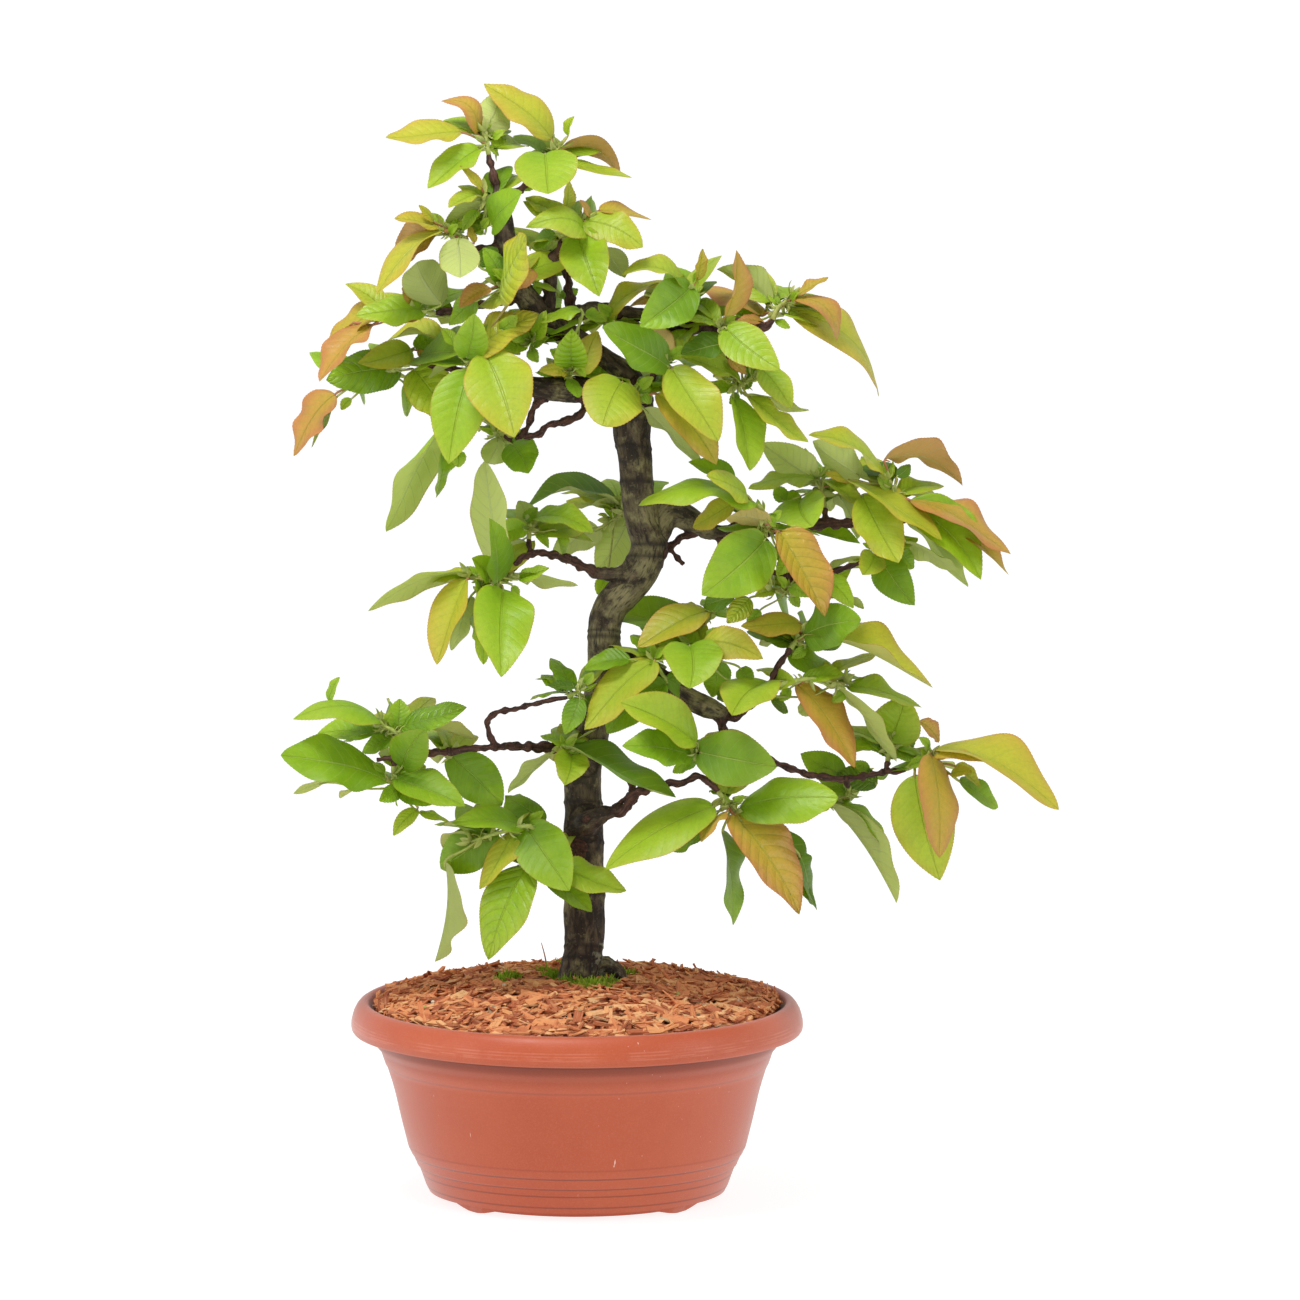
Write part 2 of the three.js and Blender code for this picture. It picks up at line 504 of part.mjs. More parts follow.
function toSolid(geometry) {
  const bare = geometry.clone();
  bare.deleteAttribute("normal");
  bare.deleteAttribute("uv");
  const merged = mergeVertices(bare, 1e-4);
  return new wasm.Manifold(new wasm.Mesh({
    numProp: 3,
    vertProperties: new Float32Array(merged.attributes.position.array),
    triVerts: new Uint32Array(merged.index.array),
  }));
}

// The corners and faces of a joined solid, without the specks that joining leaves: edges shorter than SHORTEST_EDGE are
// drawn together and faces lower than LOWEST_FACE are turned, where the surface stays one closed skin.
function cleaned(solid) {
  const mesh = solid.getMesh();
  const at = (i) => new THREE.Vector3().fromArray(mesh.vertProperties, mesh.numProp * i);
  const points = Array.from({ length: mesh.vertProperties.length / mesh.numProp }, (_, i) => at(i));
  let faces = Array.from({ length: mesh.triVerts.length / 3 }, (_, i) => [...mesh.triVerts.slice(3 * i, 3 * i + 3)]);
  const around = (corner) => faces.filter((face) => face.includes(corner));
  const neighbours = (corner) => new Set(around(corner).flat().filter((other) => other !== corner));
  const distance = (a, b) => points[a].distanceTo(points[b]);

  function drawTogether() {
    for (const face of faces) {
      for (const [a, b] of [[face[0], face[1]], [face[1], face[2]], [face[2], face[0]]]) {
        if (distance(a, b) >= SHORTEST_EDGE) continue;
        const beside = neighbours(b);
        if ([...neighbours(a)].filter((other) => beside.has(other)).length !== 2) continue;
        faces = faces.map((f) => f.map((corner) => (corner === b ? a : corner))).filter((f) => new Set(f).size === 3);
        return true;
      }
    }
    return false;
  }

  function turnLow() {
    for (const face of faces) {
      for (let i = 0; i < 3; i++) {
        const [a, b, c] = [face[i], face[(i + 1) % 3], face[(i + 2) % 3]];
        const line = new THREE.Line3(points[a], points[b]);
        const foot = line.closestPointToPoint(points[c], true, new THREE.Vector3());
        if (foot.distanceTo(points[c]) >= LOWEST_FACE || distance(a, b) < distance(b, c)) continue;
        const beyond = faces.find((f) => f !== face && f.includes(a) && f.includes(b));
        const d = beyond.find((corner) => corner !== a && corner !== b);
        if (neighbours(c).has(d) || around(a).length < 4 || around(b).length < 4) continue;
        faces = faces.filter((f) => f !== face && f !== beyond).concat([[a, d, c], [d, b, c]]);
        return true;
      }
    }
    return false;
  }

  while (drawTogether());
  for (let turns = 0; turns < MOST_TURNS && turnLow(); turns++);
  return { points, faces };
}

function toGeometry(solid) {
  const { points, faces } = cleaned(solid);
  const geometry = new THREE.BufferGeometry();
  geometry.setAttribute("position",
    new THREE.Float32BufferAttribute(faces.flat().flatMap((corner) => points[corner].toArray()), 3));
  geometry.computeVertexNormals();
  return geometry;
}

// Joined pieces as one body: a sealed hollow or a loose scrap is left behind.
function join(solids) {
  const bodies = wasm.Manifold.union(solids).decompose();
  return bodies.sort((a, b) => b.volume() - a.volume())[0];
}

// A round limb through stations of a centre and a radius, with flat ends square to it.
function limb(stations, sides, grow = 0, draw = null) {
  const centres = stations.map((s) => s.at);
  const rings = [];
  const across = new THREE.Vector3(0.3, 1, 0.1);
  let last = null;
  stations.forEach((station, i) => {
    const before = centres[Math.max(i - 1, 0)];
    const after = centres[Math.min(i + 1, centres.length - 1)];
    const along = after.clone().sub(before).normalize();
    if (station.along) along.copy(station.along);
    if (last) across.applyQuaternion(new THREE.Quaternion().setFromUnitVectors(last, along));
    across.addScaledVector(along, -across.dot(along)).normalize();
    last = along;
    const over = along.clone().cross(across);
    const ring = [];
    for (let j = 0; j < sides; j++) {
      const angle = (2 * Math.PI * j) / sides;
      const radius = (station.radius * (draw ? draw(...BARK_LUMPS) : 1)) + grow;
      ring.push(station.at.clone()
        .addScaledVector(across, radius * Math.cos(angle))
        .addScaledVector(over, radius * Math.sin(angle)));
    }
    rings.push(ring);
  });
  return toSolid(loft(rings));
}

const stationsOf = (rows) => rows.map(([across, up, back, radius]) => ({ at: place(across, up, back), radius }));

// A round solid turned about the pot's axis from rows of radius and height.
function turned(rows) {
  const profile = rows.map(([radius, height]) => new THREE.Vector2(radius, height));
  return toSolid(new THREE.LatheGeometry(profile, POT_SIDES).rotateX(Math.PI / 2));
}

// The pot: a turned wall and lip, with gaps between its feet and drain holes in its floor.
function pot() {
  const outer = [
    [PAD_RADIUS, 0], [PAD_RADIUS + 1.5, FLOOR_UNDERSIDE], [FOOT_RADIUS - FOOT_WIDTH, FLOOR_UNDERSIDE],
    [FOOT_RADIUS - FOOT_WIDTH + 1, 0], [FOOT_RADIUS, 0],
  ];
  const floor = FLOOR_UNDERSIDE + FLOOR_THICKNESS;
  const inner = POT_WALL.slice(LOWEST_INNER, -1).reverse().map(([r, z]) => [r - WALL, z]);
  let body = turned([[0, 0], ...outer, ...POT_WALL, ...POT_LIP, ...inner, [FOOT_RADIUS + 4, floor],
  [0, floor]]);
  const notch = new THREE.Shape([
    new THREE.Vector2(-NOTCH_WIDTH / 2 - NOTCH_FLARE / 2, -1), new THREE.Vector2(NOTCH_WIDTH / 2 + NOTCH_FLARE / 2, -1),
    new THREE.Vector2(NOTCH_WIDTH / 2 - NOTCH_FLARE / 2, NOTCH_HEIGHT),
    new THREE.Vector2(-NOTCH_WIDTH / 2 + NOTCH_FLARE / 2, NOTCH_HEIGHT),
  ]);
  const inside = FOOT_RADIUS - FOOT_WIDTH - 0.4;
  const beyond = FOOT_RADIUS + 25;
  const ring = turned([[inside, -2], [beyond, -2], [beyond, NOTCH_HEIGHT + 3], [inside, NOTCH_HEIGHT + 3],
    [inside, -2]]);
  for (let i = 0; i < FOOT_COUNT; i++) {
    const wedge = new THREE.ExtrudeGeometry(notch, { depth: 70, bevelEnabled: false })
      .rotateX(Math.PI / 2).translate(0, -50, 0).rotateZ((2 * Math.PI * i) / FOOT_COUNT);
    body = body.subtract(toSolid(wedge).intersect(ring));
  }
  for (let i = 0; i < DRAIN_COUNT; i++) {
    const angle = (2 * Math.PI * (i + 0.5)) / DRAIN_COUNT;
    const hole = new THREE.CylinderGeometry(DRAIN_RADIUS, DRAIN_RADIUS, 20, DRAIN_SIDES).rotateX(Math.PI / 2)
      .translate(DRAIN_CIRCLE * Math.cos(angle), DRAIN_CIRCLE * Math.sin(angle), 0);
    body = body.subtract(toSolid(hole));
  }
  return body;
}

// What fills the pot up to the mulch, with a hole for the trunk's foot.
function soil(hole) {
  const top = RIM_TOP - MULCH_DEPTH;
  const bottom = FLOOR_UNDERSIDE + FLOOR_THICKNESS + GAP;
  return turned([
    [0, bottom], [98, bottom], [106 - WALL, 24], [109.5 - WALL, 34], [120 - WALL, 70], [129 - WALL, 99],
    [134.6 - WALL, top - 8], [134.6 - WALL, top - 6], [0, top - 2],
  ]).subtract(hole);
}

function moundHeight(radius) {
  const i = MOUND.findIndex(([r]) => r <= radius);
  if (i <= 0) return MOUND[Math.max(i, 0)][1];
  const [r1, z1] = MOUND[i];
  const [r0, z0] = MOUND[i - 1];
  return z1 + ((z0 - z1) * (radius - r1)) / (r0 - r1);
}

// The layer of bark chips: a mound whose whole top is covered by chips, with a hole for the trunk's foot.
function mulch(hole) {
  const draw = drawer(41);
  const under = RIM_TOP - MULCH_DEPTH;
  const top = MOUND.map(([r, z]) => [r, z - MOUND_SINK]);
  const mound = turned([[0, under - 2 + GAP], [134.2 - WALL, under - 6 + GAP],
  [135 - WALL, under - 2], ...top]);
  const chips = [];
  for (let i = 0; i < CHIP_COUNT; i++) {
    const radius = CHIP_REACH * Math.sqrt((i + 0.5) / CHIP_COUNT);
    const atEdge = radius > EDGE_ZONE;
    const angle = i * GOLDEN_ANGLE + draw(-0.2, 0.2);
    const length = draw(...CHIP_LENGTH) * (atEdge ? EDGE_SHORTER : 1);
    const slope = (moundHeight(radius - 8) - moundHeight(radius + 8)) / 16;
    const yaw = atEdge ? angle + Math.PI / 2 + draw(-0.5, 0.5) : draw(0, Math.PI);
    const turn = new THREE.Matrix4().makeRotationAxis(
      new THREE.Vector3(-Math.sin(angle), Math.cos(angle), 0), Math.atan(slope));
    turn.multiply(new THREE.Matrix4().makeRotationZ(yaw));
    turn.multiply(new THREE.Matrix4().makeRotationY(draw(-CHIP_TILT, CHIP_TILT)));
    turn.setPosition(radius * Math.cos(angle), radius * Math.sin(angle), moundHeight(radius) - draw(...CHIP_SINK));
    chips.push(toSolid(new THREE.BoxGeometry(length, draw(...CHIP_WIDTH), CHIP_THICKNESS).applyMatrix4(turn)));
  }
  return join([mound, ...chips]).subtract(hole);
}

// The stations of a spray's green shoot: it starts GAP beyond the flat end of the wood that carries it.
function shootStations(spray) {
  const wood = stationsOf(spray.from ? LIMBS[spray.from] : spray.spur);
  const end = wood.at(-1).at;
  const along = end.clone().sub(wood.at(-2).at).normalize();
  const points = [end.clone().addScaledVector(along, GAP), ...spray.shoot.map((p) => place(...p))];
  return points.map((at, i) => ({
    at,
    along: i ? null : along,
    radius: THREE.MathUtils.lerp(...SHOOT_RADIUS, i / (points.length - 1)),
  }));
}

// Where the leaves of a shoot spring from: evenly along its outer part, in the order of their feet.
function rootsOn(stations, feet) {
  const line = new THREE.CurvePath();
  for (let i = 0; i + 1 < stations.length; i++) {
    line.add(new THREE.LineCurve3(stations[i].at, stations[i + 1].at));
  }
  const seenFrom = (at, foot) => {
    const seen = at.clone().sub(foot);
    return seen.addScaledVector(TO_VIEWER, -seen.dot(TO_VIEWER)).length();
  };
  const shares = Array.from({ length: 21 }, (_, i) => i / 20);
  const nearest = feet.map((foot) => shares.reduce((best, share) =>
    (seenFrom(line.getPointAt(share), foot) < seenFrom(line.getPointAt(best), foot) ? share : best), 1));
  const order = feet.map((_, i) => i).sort((i, j) => nearest[i] - nearest[j] || i - j);
  const roots = [];
  order.forEach((leafIndex, i) => {
    const share = feet.length > 1 ? i / (feet.length - 1) : 1;
    roots[leafIndex] = line.getPointAt(THREE.MathUtils.lerp(...ROOT_SPREAD, share));
  });
  return roots;
}

function footOf(stations, [across, up, , , tipBack], nudge) {
  return place(across, up, stations.at(-1).at.y / DEPTH + FOOT_FOLLOWS * (tipBack + nudge));
}

// One leaf: a petiole from the shoot to the foot of the blade, then a folded and lightly waved blade to the tip. A
// petiole that turns back on the blade is a rod of its own, joined to the blade's foot.
function leaf(stations, root, row, nudge, scale) {
  const [, , tipAcross, tipUp, tipBack, width, arch, under] = row;
  const foot = footOf(stations, row, nudge);
  const back = foot.y / DEPTH + tipBack + nudge;
  const tip = place(tipAcross, tipUp, back).sub(foot).multiplyScalar(scale).add(foot);
  return bladeSolids(root, foot, tip, width * scale, arch * scale, under);
}

function bladeSolids(root, foot, tip, width, arch, under) {
  const chord = tip.clone().sub(foot);
  const length = chord.length();
  const along = chord.clone().normalize();
  const facing = TO_VIEWER.clone().addScaledVector(along, -TO_VIEWER.dot(along)).normalize();
  const skyward = along.clone().cross(facing);
  if (skyward.z + 0.2 * skyward.x < 0) skyward.negate();
  const full = Math.max(width, LEAF_SHAPE * length);
  const roll = Math.acos(Math.min(width / full, 1));
  const turn = under ? Math.PI - roll : roll;
  const normal = facing.multiplyScalar(Math.cos(turn)).addScaledVector(skyward, Math.sin(turn)).normalize();
  const across = along.clone().cross(normal);
  const ring = (at, half, lift, thickness, wave) => [
    at.clone().addScaledVector(across, -half).addScaledVector(normal, lift + wave),
    at.clone().addScaledVector(across, half).addScaledVector(normal, lift - wave),
    at.clone().addScaledVector(normal, -thickness),
  ];
  const reach = foot.clone().sub(root);
  const bent = reach.dot(along) < BENT_PETIOLE * reach.length();
  const rings = bent ? [] : [ring(root, PETIOLE, PETIOLE / 2, PETIOLE, 0)];
  if (bent || reach.length() > LONG_PETIOLE) rings.push(ring(foot, PETIOLE, PETIOLE / 2, PETIOLE, 0));
  const rows = length > LARGE_LEAF ? LARGE_STATIONS : SMALL_STATIONS;
  rows.forEach(([share, part], i) => {
    const at = foot.clone().addScaledVector(chord, share).addScaledVector(normal, arch * 4 * share * (1 - share));
    const half = (full / 2) * part;
    rings.push(ring(at, half, LEAF_FOLD * half, LEAF_THICKNESS, (i % 2 ? -1 : 1) * LEAF_WAVE * half));
  });
  rings.push([tip]);
  const blade = toSolid(loft(rings.slice(-rows.length - 1)));
  if (!bent) return { whole: toSolid(loft(rings)), blade };
  const end = foot.clone().addScaledVector(along, PETIOLE);
  const petiole = limb([{ at: root, radius: BENT_RADIUS }, { at: end, radius: BENT_RADIUS }], PETIOLE_SIDES);
  return { whole: join([petiole, toSolid(loft(rings))]), blade };
}

// Rows for the leaves on the side away from the viewer: they point back from the shoot's end, a little to each side.
function backRows(shoot, count, draw) {
  const [across, up] = shoot.at(-1);
  const rows = [];
  for (let i = 0; i < count; i++) {
    const side = i % 2 ? -1 : 1;
    const length = draw(...BACK_LEAF_LENGTH);
    rows.push([across + side * draw(1, 3), up + draw(0, 2), across + side * draw(4, 12), up - draw(-4, 10),
      length / DEPTH, draw(16, 22), draw(3, 7), 0]);
  }
  return rows;
}

function near(a, b, margin) {
  const [p, q] = [a.boundingBox(), b.boundingBox()];
  return [0, 1, 2].every((i) => p.min[i] - margin < q.max[i] && q.min[i] - margin < p.max[i]);
}

const isClear = (piece, others) => others.every((o) => !near(piece, o, GAP) || piece.minGap(o, 2 * GAP) >= GAP);

// A leaf that would touch another piece, or cut through a blade of its own spray, is swung a little nearer or farther.
// Where that doesn't clear it, it may cross its own spray, is made smaller, or is left off.
function clearLeaf(make, others, own) {
  for (const [scale, aloof] of SCALES) {
    for (const nudge of NUDGES) {
      const made = make(nudge, scale);
      if (isClear(made.whole, others) && (!aloof || isClear(made.blade, own))) return made;
    }
  }
  return null;
}

const material = (color, roughness) => new THREE.MeshStandardMaterial({ color, roughness, metalness: 0 });
const TERRACOTTA = material(0xc0664a, 0.55);
const SOIL = material(0x3b2a20, 0.95);
const CHIPS = material(0xa9613c, 0.9);
const BARK = material(0x4b3d36, 0.85);
const LEAF = material(0x8fb43a, 0.45);

const group = new THREE.Group();

function add(name, solid, look) {
  const mesh = new THREE.Mesh(toGeometry(solid), look);
  mesh.name = name;
  group.add(mesh);
}

const woodDraw = drawer(7);
const woodParts = [limb(stationsOf(TRUNK), TRUNK_SIDES, 0, woodDraw)];
for (const rows of Object.values(LIMBS)) {
  woodParts.push(limb(stationsOf(rows), limbSides(rows[0][3]), 0, woodDraw));
}
for (const spray of Object.values(SPRAYS)) {
  if (spray.spur.length) woodParts.push(limb(stationsOf(spray.spur), SPUR_SIDES));
}
const wood = join(woodParts);
const hole = join([
  limb(stationsOf(TRUNK.slice(0, 5)), HOLE_SIDES, FOOT_CLEARANCE + GAP),
  limb(stationsOf(LIMBS.root), HOLE_SIDES, ROOT_CLEARANCE + GAP),
]);

const potSolid = pot();
const mulchSolid = mulch(hole);
add("pot", potSolid, TERRACOTTA);
add("soil", soil(hole), SOIL);
add("bark_chip_mulch", mulchSolid, CHIPS);
add("trunk_and_branches", wood, BARK);

const shoots = Object.fromEntries(Object.entries(SPRAYS).map(([name, spray]) => [name, shootStations(spray)]));
const shootSolids = Object.fromEntries(
  Object.entries(shoots).map(([name, stations]) => [name, limb(stations, SHOOT_SIDES)]));
const backDraw = drawer(23);
const placed = [];
for (const [name, spray] of Object.entries(SPRAYS)) {
  const backCount = placed.length % 2 ? 0 : 1;
  const otherShoots = Object.keys(SPRAYS).filter((n) => n !== name).map((n) => shootSolids[n]);
  const others = [wood, mulchSolid, ...placed, ...otherShoots];
  const rows = [...spray.leaves, ...backRows(spray.shoot, backCount, backDraw)];
  const roots = rootsOn(shoots[name], rows.map((row) => footOf(shoots[name], row, 0)));
  const leaves = [];
  rows.forEach((row, i) => {
    const make = (nudge, scale) => leaf(shoots[name], roots[i], row, nudge, scale);
    const made = clearLeaf(make, others, leaves.map((l) => l.blade));
    if (made) leaves.push(made);
  });
  const solid = join([shootSolids[name], ...leaves.map((l) => l.whole)]);
  placed.push(solid);
  add("leaves_" + name, solid, LEAF);
}

export default group;
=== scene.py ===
"""Looks for a Chinese quince bonsai in its round pot.

The tables are in millimetres, the finished meshes in metres.
"""
import math

import bmesh
import bpy
import numpy as np
from bpy.props import FloatProperty, FloatVectorProperty, IntProperty, PointerProperty
from bpy.types import Operator, Panel, PropertyGroup
from mathutils import Matrix, Vector, kdtree, noise


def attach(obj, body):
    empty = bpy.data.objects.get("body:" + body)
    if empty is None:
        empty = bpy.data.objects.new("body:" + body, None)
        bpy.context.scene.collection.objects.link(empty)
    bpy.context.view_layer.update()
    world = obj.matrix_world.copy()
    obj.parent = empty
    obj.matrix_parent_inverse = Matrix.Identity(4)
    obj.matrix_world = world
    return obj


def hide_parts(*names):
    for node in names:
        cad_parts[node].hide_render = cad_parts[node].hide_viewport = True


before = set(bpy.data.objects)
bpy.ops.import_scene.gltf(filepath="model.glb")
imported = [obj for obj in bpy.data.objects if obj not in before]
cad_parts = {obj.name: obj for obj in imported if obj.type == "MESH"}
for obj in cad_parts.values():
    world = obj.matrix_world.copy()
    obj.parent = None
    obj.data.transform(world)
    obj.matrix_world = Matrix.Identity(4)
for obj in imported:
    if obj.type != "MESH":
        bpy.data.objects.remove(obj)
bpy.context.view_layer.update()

bl_info = {
    "name": "Chinese quince bonsai",
    "version": (1, 0, 0),
    "blender": (4, 5, 0),
    "location": "View3D > Sidebar > Bonsai",
    "description": "Pot, bark mulch, wood and leaves of a small potted Chinese quince",
    "category": "Object",
}

# The tables give places across and up as a viewer sees them who looks down by VIEW_TILT, and back from that
# viewer, with depths to be stretched by DEPTH_SCALE.
VIEW_TILT = math.radians(10)
DEPTH_SCALE = 1.3
TO_VIEWER = Vector((0, -math.cos(VIEW_TILT), math.sin(VIEW_TILT)))

# The camera looks down by VIEW_ANGLE, which the pot's lip gave later. What it sees, in metres, and its film.
VIEW_ANGLE = math.radians(9.2)
VIEW_CENTRE = (0.04867, 0.0, 0.3694)
VIEW_WIDTH = 0.8667
FILM_WIDTH = 36.0

# The studio in metres: the floor, the lights' places and sizes, and what they aim at.
FLOOR_RADIUS = 30.0
LIGHT_AIM = (0.03, 0, 0.35)
TOP_LIGHT_AT = (-0.5, -0.7, 2.2)
TOP_LIGHT_SIZE = (0.75, 0.6)
SIDE_LIGHTS_AT = {"light_left": (-1.9, -1.0, 0.8), "light_right": (1.9, -0.9, 0.8)}
SIDE_LIGHT_SIZE = (0.5, 1.4)

# The pot's foot ring with its gaps, the drain holes and the inner floor.
FOOT_RADIUS = 95
FOOT_WIDTH = 7
GAP_COUNT = 4
GAP_HEIGHT = 5
GAP_WIDTH = 112
GAP_FLARE = 18
DRAIN_COUNT = 6
DRAIN_RADIUS = 5
DRAIN_CIRCLE = 58
FLOOR_TOP = 5.2

# The pot's outline as radius and height: under the base, up the wall, over the lip and down the inner wall.
POT_OUTLINE = [
    (0, 0), (13.6, 0), (15.5, 1.2), (87.6, 1.2), (89, 0), (94.2, 0), (95.1, 0.6), (96.8, 7.5), (97.4, 9.2),
    (98.7, 9.9), (99.6, 11.2), (102.2, 15.6), (102.9, 17.2), (104, 17.7), (104.5, 18.8), (105.6, 21.4),
    (105.9, 22.4), (106.9, 22.9), (107.4, 24.2), (109.4, 28.6), (110.0, 29.9), (110.7, 30.4), (111.2, 31.6),
    (112.7, 34.4), (113.3, 36.5), (117.2, 52), (121.3, 70), (123.6, 78.5), (126.3, 87), (127.6, 90.6),
    (128.2, 91), (130.7, 98.3), (131.6, 100.5), (133.9, 102.9), (134.8, 105), (137.3, 115), (139.6, 124.6),
    (141.2, 125.7), (144.8, 125.6), (145.9, 124.4), (147.2, 113.8), (148.1, 112.4), (149.6, 112.4),
    (150.6, 113.8), (151, 116.2), (150.8, 119), (150.1, 122.2), (149.1, 125.4), (147.4, 128.6),
    (145.6, 130.8), (143.6, 132.0), (141.9, 132.4), (140.3, 132.1), (139.3, 131), (138.9, 129.4),
    (136.8, 124), (131.9, 104.8), (128.3, 99), (123.5, 87), (118.5, 70), (110, 34), (101, 9),
    (99, FLOOR_TOP), (0, FLOOR_TOP),
]

# The mulch: its surface as height over radius, and the uneven bed under the chips, closed by a skirt.
MOUND = [(0, 147.2), (60, 145), (98, 140.4), (121, 135.2), (131, 131.6), (137.4, 127.6)]
MULCH_FOOT = 119
BED_RADIUS = 136.2
BED_FOOT_RADIUS = 131.5
BED_SINK = 4.2
BED_ROUGHNESS = 1.4

# The chips: the first share of them is large, they keep clear of the trunk, and at the edge lie along it.
LARGE_SHARE = 0.4
CHIP_REACH = 137.0
CHIP_EDGE = 136
CHIP_SLOPE_STEP = 6
TRUNK_CLEARANCE = 16
BATCH = 100

# A blade is at least this wide for its length: where it looks narrower, it is rolled.
LEAF_SHAPE = 0.58

# The order of the finishes on a leafy shoot.
UPPER, UNDER, STALK = 0, 1, 2

# How fast the two waves along a blade's margin turn.
WAVE_RATE = 6.28
RUFFLE_RATE = 9.1

# The share of a leaf's depth that its foot takes too, and the stretch of a shoot from which leaves spring.
FOOT_FOLLOWS = 0.2
ROOT_SPREAD = (0.3, 0.86)

# The gap between a shoot and the wood that carries it, the shoot's radius, and what it loses towards its end.
SHOOT_GAP = 0.35
SHOOT_RADIUS = 1.75
SHOOT_TAPER = 0.5
SHOOT_TINT = 0.1

# The changes of depth and size by which a leaf of the solids was cleared of its neighbours, the distance at
# which its tip counts as found, and the size of a leaf that isn't found there.
NUDGES = (0, -6, 6, -12, 12, -18, 18, -26, 26, -35, 35)
SCALES = (1, 0.8, 0.62)
TIP_FOUND = 0.15
SCENE_SCALE = 0.9

# The wood's stations: across, up, back, radius. The trunk is the first line of wood and the root the second.
TRUNK_NUMBER = 0
ROOT_NUMBER = 1
TRUNK = [
    (-1, 96, 0, 12), (-1, 120, 0, 13), (0, 141, 0, 14.7), (3, 158, 0, 13.2), (5, 175, 0, 13.4),
    (5, 191, 1, 13.7), (5, 218, 2, 13.3), (4.5, 244, 3, 13.4), (4.5, 256, 3, 12.8), (4, 288, 4, 12.3),
    (8.5, 305, 3, 12), (13, 321, 1, 11.7), (18, 341, -1, 11.7), (19, 358, -2, 12), (18, 371, -2, 10.7),
    (19, 383, -1, 11), (23, 393, 0, 11.3), (28, 399, 1, 11.7), (34, 406, 2, 12), (41, 415, 3, 12.7),
    (47, 426, 3, 12.3), (49, 435, 2, 11.7), (47, 441, 1, 12), (43, 453, 0, 11.3), (41, 465, -1, 11.3),
    (40, 478, -2, 11), (39, 491, -2, 11.3), (37, 505, -1, 12.3), (37, 517, 0, 13.3), (38, 528, 0, 13.3),
    (30, 545, -1, 11.3), (17, 555, -2, 10), (1, 567, -4, 9), (-17, 581, -6, 8.3), (-31, 594, -8, 8),
    (-42, 611, -10, 7.7), (-47, 631, -11, 7.5), (-49, 648, -11, 6.7), (-51, 667, -11, 6),
]
